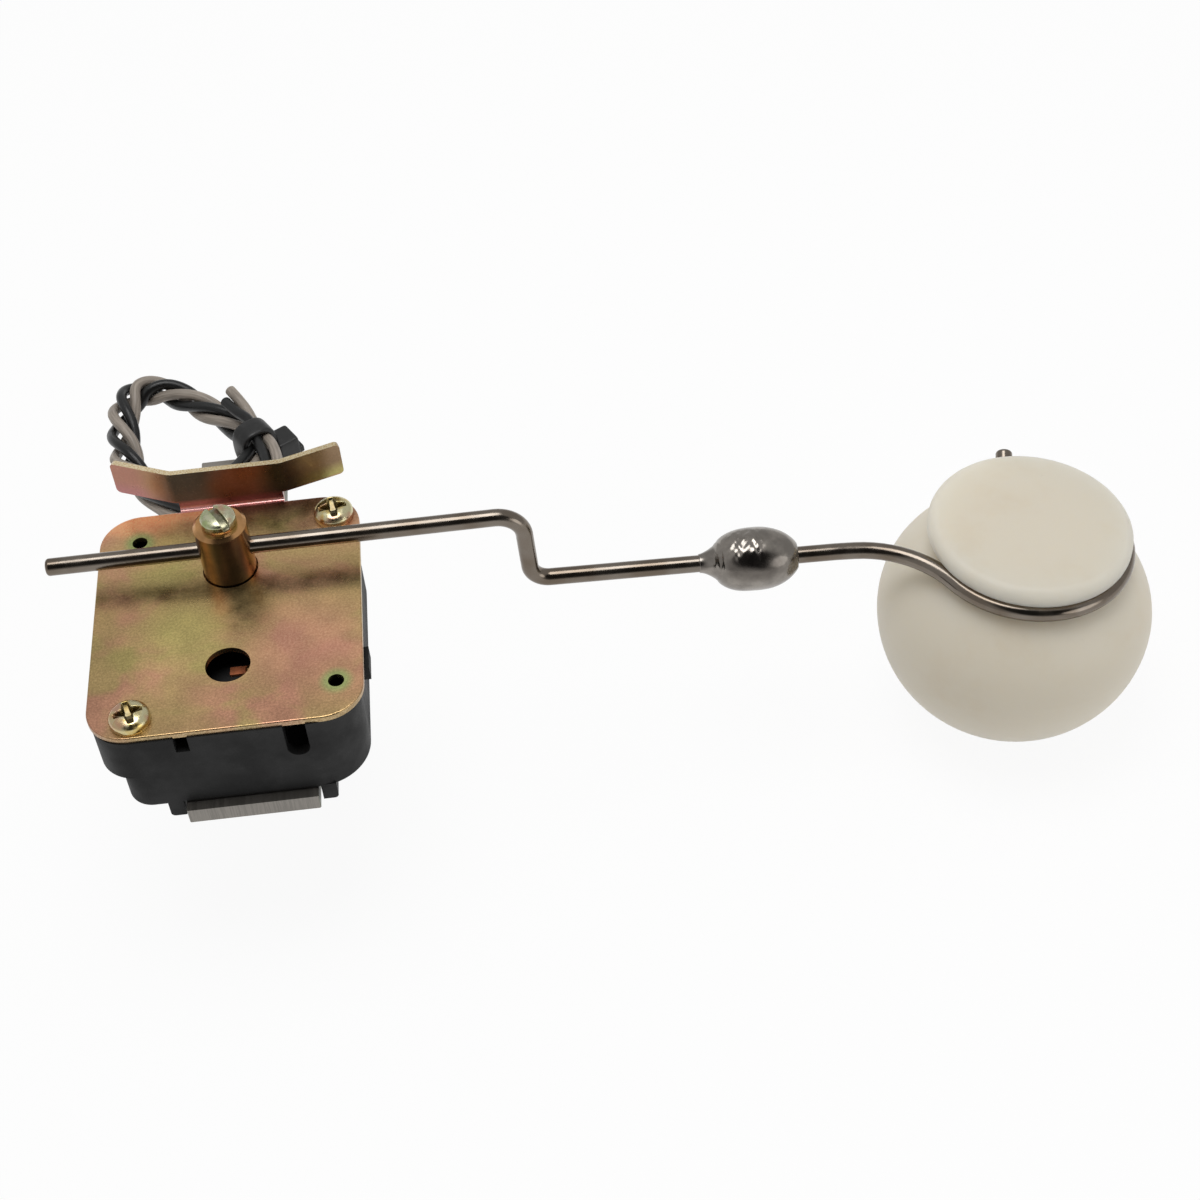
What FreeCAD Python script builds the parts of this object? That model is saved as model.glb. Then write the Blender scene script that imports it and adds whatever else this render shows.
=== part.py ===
import FreeCAD, Part
import math
import os
import re

import Sketcher

# A lever-arm tank level sender. The frame's origin is on the back face of the mounting strap, under the
# hub's axis. +Z runs along the hub's axis towards the float side, +X along the float arm at mid travel and
# +Y towards the tail of the strap. Lengths are millimetres and angles are degrees.

SIZES = {
    # Mounting strap, a flat bar
    "strap_width": 23.0,
    "strap_thickness": 3.2,
    "strap_front_reach": 40.0,
    "strap_tail_reach": 49.0,
    "strap_side_shift": 1.3,
    "tail_width": 16.8,
    "tail_shoulder": 1.2,
    "strap_hole_diameter": 5.2,
    "strap_hole_spacing": 12.7,
    "strap_hole_inset": 6.5,
    "strap_edge_break": 0.3,
    # Rivets that hold the housing on the strap
    "strap_rivet_diameter": 3.0,
    "strap_rivet_head": 5.6,
    "strap_rivet_dome": 1.3,
    "strap_rivet_sink": 1.4,
    "strap_rivet_front_place": 31.0,
    "strap_rivet_back_place": 10.5,
    "rivet_fit": 0.03,
    # Housing, a moulded cup under the cover plate
    "housing_height": 17.1,
    "housing_wall": 2.0,
    "housing_floor": 2.2,
    "housing_inset": 0.2,
    "housing_left_inset": 4.0,
    "housing_right_inset": 1.1,
    "housing_front_lead": 0.3,
    "cup_corner": 4.5,
    "housing_corner": 9.0,
    "housing_edge_round": 0.8,
    "boss_height": 9.0,
    "boss_length": 9.4,
    "lug_length": 11.0,
    "lug_inset": 0.6,
    "rail_width": 2.7,
    "rail_round": 0.8,
    "rail_recess": 0.15,
    "rail_fit": 0.5,
    "notch_width": 3.9,
    "notch_depth": 7.6,
    "notch_place": 11.2,
    "slot_width": 2.4,
    "slot_depth": 3.4,
    "slot_place": 8.1,
    "pip_length": 5.0,
    "pip_height": 3.0,
    "pip_rise": 1.8,
    "pip_place": 23.0,
    "pip_drop": 1.5,
    # Cover plate with the stop bracket bent up from its back edge
    "plate_left": 24.2,
    "plate_right": 23.4,
    "plate_front": 37.9,
    "plate_back": 16.0,
    "plate_thickness": 1.1,
    "plate_edge_round": 0.3,
    "plate_corner": 7.3,
    "hub_hole_gap": 0.25,
    "inspection_diameter": 7.9,
    "inspection_place": 23.5,
    "locating_diameter": 2.8,
    "locating_left_place": 16.8,
    "locating_left_setback": 9.0,
    "locating_right_place": 18.7,
    "locating_right_setback": 29.9,
    "flange_gap": 0.55,
    "flange_left": 10.2,
    "flange_right": 10.2,
    "flange_height": 8.9,
    "flange_lift": 1.8,
    "root_margin": 0.6,
    "left_wing_length": 12.1,
    "left_wing_angle": 24.0,
    "right_wing_length": 11.4,
    "right_wing_angle": 17.0,
    "bend_radius": 0.5,
    "wing_bend_radius": 2.4,
    "tip_round": 0.9,
    # Screws that hold the cover on the housing's bosses
    "screw_diameter": 3.5,
    "screw_head": 7.2,
    "screw_head_height": 2.5,
    "screw_reach": 8.0,
    "screw_fit": 0.1,
    "recess_width": 1.1,
    "recess_span": 4.2,
    "recess_depth": 1.7,
    "screw_left_place": 16.4,
    "screw_left_setback": 33.8,
    "screw_right_place": 18.8,
    "screw_right_setback": 10.7,
    # Hub, turned in one piece with its shaft
    "hub_diameter": 9.525,
    "hub_rise": 11.5,
    "hub_chamfer": 0.6,
    "collar_diameter": 12.4,
    "collar_thickness": 4.0,
    "collar_gap": 0.4,
    "shaft_diameter": 8.0,
    "journal_diameter": 5.0,
    "journal_length": 5.0,
    "bearing_clearance": 0.04,
    "bearing_wall": 2.6,
    "washer_room": 1.3,
    # Clamp screw in the end of the hub
    "clamp_diameter": 3.5,
    "clamp_head": 6.3,
    "clamp_head_height": 2.3,
    "clamp_slot_width": 1.0,
    "clamp_slot_depth": 1.2,
    "clamp_slot_angle": -48.0,
    "clamp_fit": 0.04,
    # Float arm, one bent rod
    "rod_diameter": 3.175,
    "rod_rise": 5.2,
    "rod_fit": 0.04,
    "rod_end_round": 0.6,
    "arm_tail": 32.0,
    "drop_place": 53.3,
    "drop_height": 16.5,
    "drop_slant": 1.9,
    "upper_bend_radius": 5.0,
    "lower_bend_radius": 3.6,
    "arm_droop": 2.0,
    "loop_kink_place": 110.0,
    "kink_radius": 40.0,
    "loop_droop": 4.4,
    "loop_radius": 18.3,
    "loop_reach": 36.05,
    "loop_side_shift": 0.3,
    "loop_bend_start": 3.5,
    "loop_end_angle": 81.0,
    "tail_bend_radius": 3.2,
    "tail_length": 1.6,
    "tail_lift": 20.0,
    # Ballast cast on the rod
    "ballast_place": 95.0,
    "ballast_length": 15.4,
    "ballast_diameter": 11.8,
    "ballast_end_diameter": 6.6,
    "ballast_end_round": 1.4,
    "ballast_shoulder_diameter": 7.2,
    "ballast_cone_diameter": 4.2,
    "ballast_cone_length": 2.8,
    # Float, a moulded body with a neck and a head
    "float_diameter": 52.0,
    "float_belly_depth": 17.8,
    "float_flank_depth": 36.5,
    "float_flank_diameter": 35.0,
    "float_depth": 42.7,
    "float_lip": 0.7,
    "float_grip_gap": 0.08,
    "head_diameter": 37.9,
    "head_height": 4.5,
    "head_dome": 1.0,
    "head_round": 2.0,
    "head_under_round": 0.9,
    # Wiper carrier, contact blade and resistance track
    "carrier_diameter": 16.0,
    "carrier_thickness": 1.8,
    "carrier_arm_width": 8.4,
    "carrier_arm_reach": 23.0,
    "carrier_fit": 0.03,
    "blade_width": 1.8,
    "blade_thickness": 0.5,
    "blade_margin": 2.5,
    "blade_stub": 0.6,
    "blade_length": 7.1,
    "blade_rivet_place": 2.9,
    "blade_rivet_diameter": 1.2,
    "blade_rivet_head": 1.7,
    "blade_rivet_height": 0.5,
    "button_diameter": 1.8,
    "button_height": 2.2,
    "track_gap": 0.15,
    "former_thickness": 1.6,
    "former_start_angle": -122.0,
    "former_wall_gap": 1.05,
    "winding_thickness": 0.35,
    "winding_depth": 3.0,
    "winding_end_angle": 3.0,
    # Spring washer under the carrier
    "washer_bore": 6.4,
    "washer_diameter": 9.6,
    "washer_thickness": 0.4,
    # Terminal strips on the housing's floor and their rivets
    "terminal_width": 3.0,
    "terminal_thickness": 0.5,
    "terminal_rivet_diameter": 1.5,
    "terminal_rivet_head": 2.6,
    "terminal_rivet_height": 0.8,
    "hub_terminal_place": 7.5,
    "hub_terminal_back": 11.5,
    "hub_terminal_front": 2.5,
    "winding_terminal_offset": 1.15,
    "winding_terminal_back": 10.0,
    "winding_terminal_overrun": 0.67,
    # Leads, a twisted pair in one loose coil, and the tie round it
    "pair_diameter": 4.4,
    "lead_diameter": 2.2,
    "lead_exit_place": 9.5,
    "lead_exit_rise": 11.5,
    "lead_start": 2.7,
    "lead_straight": 4.2,
    "grommet_bore_gap": 0.05,
    "grommet_neck": 1.0,
    "grommet_flange": 1.6,
    "grommet_flange_thickness": 1.2,
    "rope_diameter": 5.4,
    "tie_place": 1.0,
    "tie_setback": 47.8,
    "tie_turn": 31.0,
    "tie_thickness": 1.3,
    "tie_width": 4.8,
    "tie_gap": 0.1,
    "tie_side_gap": 0.2,
    "tie_headroom": 2.6,
    "tie_head_length": 4.8,
    "tie_head_height": 5.2,
    "tie_head_width": 5.4,
}

# Heights and faces that several pieces share, as formulas of the sizes
HOUSING_BOTTOM = "strap_thickness"
FLOOR_TOP = "(strap_thickness + housing_floor)"
PLATE_BOTTOM = "(strap_thickness + housing_height)"
PLATE_TOP = "(strap_thickness + housing_height + plate_thickness)"
ROD_HEIGHT = "(strap_thickness + housing_height + plate_thickness + rod_rise)"
HUB_TOP = "(strap_thickness + housing_height + plate_thickness + hub_rise)"
COLLAR_TOP = "(strap_thickness + housing_height - collar_gap)"
COLLAR_BOTTOM = "(strap_thickness + housing_height - collar_gap - collar_thickness)"
CARRIER_BOTTOM = "(strap_thickness + housing_height - collar_gap - collar_thickness - carrier_thickness)"
BEARING_TOP = f"({CARRIER_BOTTOM} - washer_room)"
HOUSING_LEFT = "(plate_left - housing_left_inset)"
HOUSING_RIGHT = "(plate_right - housing_right_inset)"
HOUSING_FRONT = "(plate_front + housing_front_lead)"
HOUSING_BACK = "(plate_back - housing_inset)"
FLANGE_FACE = "(plate_back + flange_gap)"
FLANGE_BACK = "(plate_back + flange_gap + plate_thickness)"
BUTTON_BOTTOM = "(strap_thickness + housing_height - collar_gap - collar_thickness - button_height)"
COIL_BOTTOM = "(strap_thickness + tie_thickness + 2 * tie_gap)"
TAIL_MIDDLE = "(strap_side_shift - strap_width / 2 + tail_width / 2)"
BLADE_PLACE = "(carrier_arm_reach - blade_margin)"
BUTTON_PLACE = "(blade_length - button_diameter / 2)"
TRACK_RADIUS = f"sqrt({BUTTON_PLACE} * {BUTTON_PLACE} + {BLADE_PLACE} * {BLADE_PLACE})"
TRACK_INNER = f"({TRACK_RADIUS} - former_thickness / 2)"
TRACK_OUTER = f"({TRACK_RADIUS} + former_thickness / 2)"
FORMER_END = f"(-acos(({HOUSING_RIGHT} - housing_wall - former_wall_gap) / {TRACK_OUTER}) / 1 deg)"
WINDING_TERMINAL_PLACE = f"(winding_terminal_offset - {TRACK_RADIUS} * cos(former_start_angle))"
WINDING_TERMINAL_FRONT = f"(-{TRACK_RADIUS} * sin(former_start_angle) - winding_terminal_overrun)"
FULL_TURN = 360.0

doc = FreeCAD.newDocument("tank_level_sender")
sheet = doc.addObject("Spreadsheet::Sheet", "Sizes")
for row, (alias, size) in enumerate(SIZES.items(), start=1):
    sheet.set(f"A{row}", alias)
    sheet.set(f"B{row}", str(size))
    sheet.setAlias(f"B{row}", alias)
doc.recompute()


def cells(formula):
    """Write a formula of size names as an expression on the sheet's cells."""
    return re.sub(r"[a-z][a-z_]*[a-z]", lambda word: sheet_word(word.group(0)), formula)


def sheet_word(word):
    """Point a size name at its cell, and leave a function's name alone."""
    return f"Sizes.{word}" if word in SIZES else word


def number(formula):
    """Give the present value of a formula of size names."""
    return float(sheet.evalExpression(cells(formula)))


def bind(thing, prop, formula):
    """Tie a property of a document object to the sheet."""
    thing.setExpression(prop, cells(formula))


def new_body(name):
    """Start one sub-part as a body with its own label."""
    body = doc.addObject("PartDesign::Body", name)
    body.Label = name
    return body


def sketch_on(body, name, role, offset="0"):
    """Start a sketch on one of the body's own origin planes, moved along that plane's normal."""
    sketch = body.newObject("Sketcher::SketchObject", name)
    plane = next(feature for feature in body.Origin.OriginFeatures if feature.Role == role)
    sketch.AttachmentSupport = [(plane, "")]
    sketch.MapMode = "FlatFace"
    bind(sketch, "AttachmentOffset.Base.z", offset)
    return sketch


def pin_point(sketch, geometry, position, x, y):
    """Hold one point of a sketch at two formulas, measured from the sketch's origin."""
    if x == "0":
        sketch.addConstraint(Sketcher.Constraint("PointOnObject", geometry, position, -2))
    else:
        index = sketch.addConstraint(Sketcher.Constraint("DistanceX", -1, 1, geometry, position, number(x)))
        bind(sketch, f"Constraints[{index}]", x)
    if y == "0":
        sketch.addConstraint(Sketcher.Constraint("PointOnObject", geometry, position, -1))
    else:
        index = sketch.addConstraint(Sketcher.Constraint("DistanceY", -1, 1, geometry, position, number(y)))
        bind(sketch, f"Constraints[{index}]", y)


def arc_center(start, end, rule, formula, turn):
    """Find where an arc's centre lies, from its radius, its centre's height or its centre on the axis."""
    if rule == "radius":
        radius = number(formula)
        chord = end - start
        across = FreeCAD.Vector(-chord.y, chord.x, 0).normalize()
        reach = math.sqrt(max(radius ** 2 - (chord.Length / 2) ** 2, 0.0))
        side = 1.0 if turn == "left" else -1.0
        return (start + end) * 0.5 + across * (side * reach)
    if rule == "center_height":
        level = number(formula)
        span = 2 * (end.x - start.x)
        squares = end.x ** 2 - start.x ** 2 + (level - end.y) ** 2 - (level - start.y) ** 2
        return FreeCAD.Vector(squares / span, level, 0)
    span = 2 * (end.y - start.y)
    return FreeCAD.Vector(0, (end.y ** 2 - start.y ** 2 + end.x ** 2 - start.x ** 2) / span, 0)


def draw_arc(sketch, start, end, rule, formula, turn):
    """Draw one arc side of an outline and hold its centre; gives the places of its start and its end."""
    center = arc_center(start, end, rule, formula, turn)
    first, last = (start, end) if turn == "left" else (end, start)
    from_angle = math.atan2(first.y - center.y, first.x - center.x)
    to_angle = math.atan2(last.y - center.y, last.x - center.x)
    circle = Part.Circle(center, FreeCAD.Vector(0, 0, 1), (start - center).Length)
    geometry = sketch.addGeometry(Part.ArcOfCircle(circle, from_angle, to_angle), False)
    if rule == "radius":
        index = sketch.addConstraint(Sketcher.Constraint("Radius", geometry, number(formula)))
        bind(sketch, f"Constraints[{index}]", formula)
    elif rule == "center_height":
        index = sketch.addConstraint(Sketcher.Constraint("DistanceY", -1, 1, geometry, 3, number(formula)))
        bind(sketch, f"Constraints[{index}]", formula)
    else:
        sketch.addConstraint(Sketcher.Constraint("PointOnObject", geometry, 3, -2))
    return (geometry, 1, 2) if turn == "left" else (geometry, 2, 1)


def outline(sketch, corners, arcs=None):
    """Close a loop through corners given as pairs of formulas; arcs maps a side to its rule and turn."""
    arcs = arcs or {}
    places = [FreeCAD.Vector(number(x), number(y), 0) for x, y in corners]
    sides = []
    for side, start in enumerate(places):
        end = places[(side + 1) % len(places)]
        if side in arcs:
            sides.append(draw_arc(sketch, start, end, *arcs[side]))
        else:
            sides.append((sketch.addGeometry(Part.LineSegment(start, end), False), 1, 2))
    for side, (geometry, start_place, end_place) in enumerate(sides):
        following, next_place, _ = sides[(side + 1) % len(sides)]
        sketch.addConstraint(Sketcher.Constraint("Coincident", geometry, end_place, following, next_place))
        pin_point(sketch, geometry, start_place, *corners[side])


def rectangle(sketch, left, right, low, high):
    """Draw a rectangle between four formulas."""
    outline(sketch, [(left, low), (right, low), (right, high), (left, high)])


def circle(sketch, x, y, radius):
    """Draw a circle at two formulas."""
    center = FreeCAD.Vector(number(x), number(y), 0)
    geometry = sketch.addGeometry(Part.Circle(center, FreeCAD.Vector(0, 0, 1), number(radius)), False)
    pin_point(sketch, geometry, 3, x, y)
    index = sketch.addConstraint(Sketcher.Constraint("Radius", geometry, number(radius)))
    bind(sketch, f"Constraints[{index}]", radius)


def pad(body, sketch, length, down=False):
    """Raise a sketch into a solid."""
    feature = body.newObject("PartDesign::Pad", f"{sketch.Name}_pad")
    feature.Profile = sketch
    feature.Reversed = down
    bind(feature, "Length", length)
    doc.recompute()
    return feature


def pocket(body, sketch, depth, up=False):
    """Cut a sketch out of the body, against the sketch's normal unless up is set."""
    before = body.Shape.Volume
    feature = body.newObject("PartDesign::Pocket", f"{sketch.Name}_pocket")
    feature.Profile = sketch
    feature.Reversed = up
    bind(feature, "Length", depth)
    doc.recompute()
    if body.Shape.Volume >= before:
        raise RuntimeError(f"{sketch.Name} cuts nothing")
    return feature


def revolve(body, sketch, axis="V_Axis"):
    """Turn a half profile about one of its sketch's axes."""
    feature = body.newObject("PartDesign::Revolution", f"{sketch.Name}_turned")
    feature.Profile = sketch
    feature.ReferenceAxis = (sketch, [axis])
    feature.Angle = FULL_TURN
    doc.recompute()
    return feature


def round_edges(body, radius, wanted):
    """Round the edges of the body's tip whose middle passes the test wanted."""
    tip = body.Tip
    names = []
    for index, edge in enumerate(tip.Shape.Edges, start=1):
        if wanted(edge):
            names.append(f"Edge{index}")
    feature = body.newObject("PartDesign::Fillet", f"{body.Name}_round")
    feature.Base = (tip, names)
    bind(feature, "Radius", radius)
    doc.recompute()
    return feature


def near(value, formula, margin=0.01):
    """Tell whether a length equals a formula's value."""
    return abs(value - number(formula)) < margin


def upright(edge):
    """Tell whether an edge runs along Z."""
    box = edge.BoundBox
    return box.ZLength > 0.1 and box.XLength < 0.01 and box.YLength < 0.01


def upright_at(edge, x, y):
    """Tell whether an edge runs along Z at one place in plan."""
    middle = edge.BoundBox.Center
    return upright(edge) and near(middle.x, x) and near(middle.y, y)


def flat_at(edge, height):
    """Tell whether an edge lies in one level plane."""
    box = edge.BoundBox
    return box.ZLength < 0.01 and near(box.ZMin, height)


def group(name, pieces):
    """Put separate like solids into one sub-part."""
    bundle = doc.addObject("Part::Compound", name)
    bundle.Label = name
    bundle.Links = pieces
    doc.recompute()
    return bundle


def plain_feature(name, shape):
    """Store a shape that is swept along a bent path as one sub-part."""
    feature = doc.addObject("Part::Feature", name)
    feature.Label = name
    feature.Shape = shape
    feature.Placement = FreeCAD.Placement()
    return feature


def make_mounting_strap():
    """A flat bar with two mounting holes in its narrower tail and two countersunk rivet holes."""
    body = new_body("mounting_strap")
    plan = sketch_on(body, "strap_plan", "XY_Plane")
    left, right = "strap_side_shift - strap_width / 2", "strap_side_shift + strap_width / 2"
    tail_right = "strap_side_shift - strap_width / 2 + tail_width"
    shoulder = f"{HOUSING_BACK} + tail_shoulder"
    outline(plan, [
        (left, "-strap_front_reach"), (right, "-strap_front_reach"), (right, shoulder),
        (tail_right, f"{shoulder} + strap_width - tail_width"), (tail_right, "strap_tail_reach"),
        (left, "strap_tail_reach"),
    ])
    pad(body, plan, "strap_thickness")
    round_edges(body, "strap_edge_break", upright)
    holes = sketch_on(body, "strap_holes", "XY_Plane", HOUSING_BOTTOM)
    for place in ("strap_tail_reach - strap_hole_inset",
                  "strap_tail_reach - strap_hole_inset - strap_hole_spacing"):
        circle(holes, TAIL_MIDDLE, place, "strap_hole_diameter / 2")
    for place in ("-strap_rivet_front_place", "strap_rivet_back_place"):
        circle(holes, "strap_side_shift", place, "strap_rivet_diameter / 2 + rivet_fit")
    pocket(body, holes, "strap_thickness")
    for index, place in enumerate(("-strap_rivet_front_place", "strap_rivet_back_place")):
        cone = body.newObject("PartDesign::SubtractiveCone", f"strap_sink_{index}")
        bind(cone, "Radius1", "strap_rivet_head / 2 + rivet_fit")
        bind(cone, "Radius2", "strap_rivet_diameter / 2 + rivet_fit")
        bind(cone, "Height", "strap_rivet_sink")
        bind(cone, "AttachmentOffset.Base.x", "strap_side_shift")
        bind(cone, "AttachmentOffset.Base.y", place)
        plane = next(feature for feature in body.Origin.OriginFeatures if feature.Role == "XY_Plane")
        cone.AttachmentSupport = [(plane, "")]
        cone.MapMode = "FlatFace"
        doc.recompute()
    return body


def make_strap_rivets():
    """Rivets with a flush sunk head in the strap and a domed head on the housing's floor."""
    pieces = []
    for name, place in (("front", "-strap_rivet_front_place"), ("back", "strap_rivet_back_place")):
        body = doc.addObject("PartDesign::Body", f"strap_rivet_{name}")
        section = sketch_on(body, f"strap_rivet_{name}_section", "XZ_Plane")
        outline(section, [
            ("0", "0"),
            ("strap_rivet_head / 2", "0"),
            ("strap_rivet_diameter / 2", "strap_rivet_sink"),
            ("strap_rivet_diameter / 2", FLOOR_TOP),
            ("strap_rivet_head / 2", FLOOR_TOP),
            ("0", f"{FLOOR_TOP} + strap_rivet_dome"),
        ], {4: ("center_on_axis", "0", "left")})
        revolve(body, section)
        bind(body, "Placement.Base.x", "strap_side_shift")
        bind(body, "Placement.Base.y", place)
        pieces.append(body)
    return group("strap_rivets", pieces)


def make_housing():
    """A moulded cup with two screw bosses, a bearing post, wall notches and two rail feet."""
    body = new_body("housing")
    plan = sketch_on(body, "housing_plan", "XY_Plane", HOUSING_BOTTOM)
    rectangle(plan, f"-{HOUSING_LEFT}", HOUSING_RIGHT, f"-{HOUSING_FRONT}", HOUSING_BACK)
    pad(body, plan, "housing_height")
    tight_corners = [(f"-{HOUSING_LEFT}", f"-{HOUSING_FRONT}"), (f"-{HOUSING_LEFT}", HOUSING_BACK)]
    wide_corners = [(HOUSING_RIGHT, f"-{HOUSING_FRONT}"), (HOUSING_RIGHT, HOUSING_BACK)]
    round_edges(body, "cup_corner", lambda edge: any(upright_at(edge, *at) for at in tight_corners))
    round_edges(body, "housing_corner", lambda edge: any(upright_at(edge, *at) for at in wide_corners))
    round_edges(body, "housing_edge_round", lambda edge: flat_at(edge, HOUSING_BOTTOM))
    cut_housing_cavity(body)
    add_housing_bosses(body)
    add_bearing_post(body)
    cut_housing_walls(body)
    add_housing_rails(body)
    return body


def cut_housing_cavity(body):
    """Hollow the cup, with its inner corners following the outer ones."""
    cavity = sketch_on(body, "housing_cavity", "XY_Plane", PLATE_BOTTOM)
    left = f"-{HOUSING_LEFT} + housing_wall"
    right = f"{HOUSING_RIGHT} - housing_wall"
    front = f"-{HOUSING_FRONT} + housing_wall"
    back = f"{HOUSING_BACK} - housing_wall"
    wide = "(housing_corner - housing_wall)"
    tight = "(cup_corner - housing_wall)"
    outline(cavity, [
        (f"{left} + {tight}", front), (f"{right} - {wide}", front),
        (right, f"{front} + {wide}"), (right, f"{back} - {wide}"),
        (f"{right} - {wide}", back), (f"{left} + {tight}", back),
        (left, f"{back} - {tight}"), (left, f"{front} + {tight}"),
    ], {
        1: ("radius", wide, "left"), 3: ("radius", wide, "left"),
        5: ("radius", tight, "left"), 7: ("radius", tight, "left"),
    })
    pocket(body, cavity, "housing_height - housing_floor")


def add_housing_bosses(body):
    """A lug beside the front left corner and a boss in the back right one, each with a screw's pilot hole."""
    bosses = sketch_on(body, "housing_bosses", "XY_Plane", f"{PLATE_BOTTOM} - boss_height")
    corner = "(plate_corner - housing_inset)"
    lug_corner = "(plate_corner - lug_inset)"
    left, front = "-(plate_left - lug_inset)", f"-{HOUSING_FRONT}"
    right, back = HOUSING_RIGHT, HOUSING_BACK
    outline(bosses, [
        (f"{left} + {lug_corner}", front), (f"{left} + lug_length", front),
        (f"{left} + lug_length", f"{front} + lug_length"), (left, f"{front} + lug_length"),
        (left, f"{front} + {lug_corner}"),
    ], {4: ("radius", lug_corner, "left")})
    outline(bosses, [
        (f"{right} - {corner}", back), (f"{right} - boss_length", back),
        (f"{right} - boss_length", f"{back} - boss_length"), (right, f"{back} - boss_length"),
        (right, f"{back} - {corner}"),
    ], {4: ("radius", corner, "left")})
    pad(body, bosses, "boss_height")
    pilots = sketch_on(body, "housing_pilots", "XY_Plane", PLATE_BOTTOM)
    circle(pilots, "-screw_left_place", "-screw_left_setback", "screw_diameter / 2 + screw_fit")
    circle(pilots, "screw_right_place", "screw_right_setback", "screw_diameter / 2 + screw_fit")
    pocket(body, pilots, "screw_reach - plate_thickness + screw_fit")


def add_bearing_post(body):
    """A post on the floor with a blind bore for the hub's journal, and the rivet holes in the floor."""
    post = sketch_on(body, "bearing_post", "XY_Plane", FLOOR_TOP)
    circle(post, "0", "0", "journal_diameter / 2 + bearing_clearance + bearing_wall")
    pad(body, post, f"{BEARING_TOP} - {FLOOR_TOP}")
    bore = sketch_on(body, "bearing_bore", "XY_Plane", BEARING_TOP)
    circle(bore, "0", "0", "journal_diameter / 2 + bearing_clearance")
    pocket(body, bore, "journal_length")
    rivet_holes = sketch_on(body, "floor_rivet_holes", "XY_Plane", FLOOR_TOP)
    for place in ("-strap_rivet_front_place", "strap_rivet_back_place"):
        circle(rivet_holes, "strap_side_shift", place, "strap_rivet_diameter / 2 + rivet_fit")
    circle(rivet_holes, "-hub_terminal_place", "hub_terminal_back - terminal_width / 2",
           "terminal_rivet_diameter / 2 + rivet_fit")
    circle(rivet_holes, f"-{WINDING_TERMINAL_PLACE}", "winding_terminal_back - terminal_width / 2",
           "terminal_rivet_diameter / 2 + rivet_fit")
    pocket(body, rivet_holes, "housing_floor")


def cut_housing_walls(body):
    """The deep and the shallow notch in the front wall, the lead hole and a pip on the right wall."""
    notch = sketch_on(body, "front_notches", "XZ_Plane", HOUSING_FRONT)
    half = "notch_width / 2"
    outline(notch, [
        (f"notch_place - {half}", f"{PLATE_BOTTOM} - notch_depth + {half}"),
        (f"notch_place + {half}", f"{PLATE_BOTTOM} - notch_depth + {half}"),
        (f"notch_place + {half}", PLATE_BOTTOM), (f"notch_place - {half}", PLATE_BOTTOM),
    ], {0: ("radius", half, "left")})
    rectangle(notch, "-slot_place - slot_width / 2", "-slot_place + slot_width / 2",
              f"{PLATE_BOTTOM} - slot_depth", PLATE_BOTTOM)
    pocket(body, notch, "housing_wall")
    lead_hole = sketch_on(body, "lead_hole", "XZ_Plane", f"-{HOUSING_BACK}")
    circle(lead_hole, "-lead_exit_place", "lead_exit_rise", "pair_diameter / 2 + grommet_neck")
    pocket(body, lead_hole, "housing_wall", up=True)
    pip = sketch_on(body, "side_pip", "YZ_Plane", HOUSING_RIGHT)
    rectangle(pip, "-pip_place - pip_length / 2", "-pip_place + pip_length / 2",
              f"{PLATE_BOTTOM} - pip_drop - pip_height", f"{PLATE_BOTTOM} - pip_drop")
    pad(body, pip, "pip_rise")


def add_housing_rails(body):
    """Two feet along the strap's sides that keep the housing square on it, flush with its front."""
    rails = sketch_on(body, "strap_rails", "XY_Plane", f"{HOUSING_BOTTOM} + housing_edge_round")
    inner_left = "strap_side_shift - strap_width / 2 - rail_fit"
    inner_right = "strap_side_shift + strap_width / 2 + rail_fit"
    outer_left = f"{inner_left} - rail_width"
    outer_right = f"{inner_right} + rail_width"
    front = f"-{HOUSING_FRONT}"
    back = f"{HOUSING_BACK} - housing_corner"
    rectangle(rails, outer_left, inner_left, front, back)
    rectangle(rails, inner_right, outer_right, front, back)
    pad(body, rails, "strap_thickness - rail_recess + housing_edge_round", down=True)
    round_edges(body, "rail_round", lambda edge: flat_at(edge, "rail_recess") and edge.BoundBox.XLength < 0.01
                and (near(edge.BoundBox.XMin, outer_left) or near(edge.BoundBox.XMin, outer_right)))


def make_cover_plate():
    """A stamped plate with a stop bracket bent up from its back edge, its two wings bent backwards."""
    body = new_body("cover_plate")
    plan = sketch_on(body, "plate_plan", "XY_Plane", PLATE_BOTTOM)
    left, right, front, back = "-plate_left", "plate_right", "-plate_front", "plate_back"
    corner = "plate_corner"
    outline(plan, [
        (f"{left} + {corner}", front), (f"{right} - {corner}", front),
        (right, f"{front} + {corner}"), (right, f"{back} - {corner}"),
        (f"{right} - {corner}", back), ("flange_right - root_margin", back),
        ("flange_right - root_margin", FLANGE_BACK), ("-flange_left + root_margin", FLANGE_BACK),
        ("-flange_left + root_margin", back), (f"{left} + {corner}", back),
        (left, f"{back} - {corner}"), (left, f"{front} + {corner}"),
    ], {side: ("radius", corner, "left") for side in (1, 3, 9, 11)})
    pad(body, plan, "plate_thickness")
    round_edges(body, "plate_edge_round", lambda edge: flat_at(edge, PLATE_TOP)
                and edge.BoundBox.YMax < number("plate_back") + 0.01)
    add_stop_bracket(body)
    holes = sketch_on(body, "plate_holes", "XY_Plane", PLATE_TOP)
    circle(holes, "0", "0", "hub_diameter / 2 + hub_hole_gap")
    circle(holes, "0", "-inspection_place", "inspection_diameter / 2")
    circle(holes, "-locating_left_place", "locating_left_setback", "locating_diameter / 2")
    circle(holes, "locating_right_place", "-locating_right_setback", "locating_diameter / 2")
    circle(holes, "-screw_left_place", "-screw_left_setback", "screw_diameter / 2 + screw_fit")
    circle(holes, "screw_right_place", "screw_right_setback", "screw_diameter / 2 + screw_fit")
    pocket(body, holes, "plate_thickness")
    return body


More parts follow.
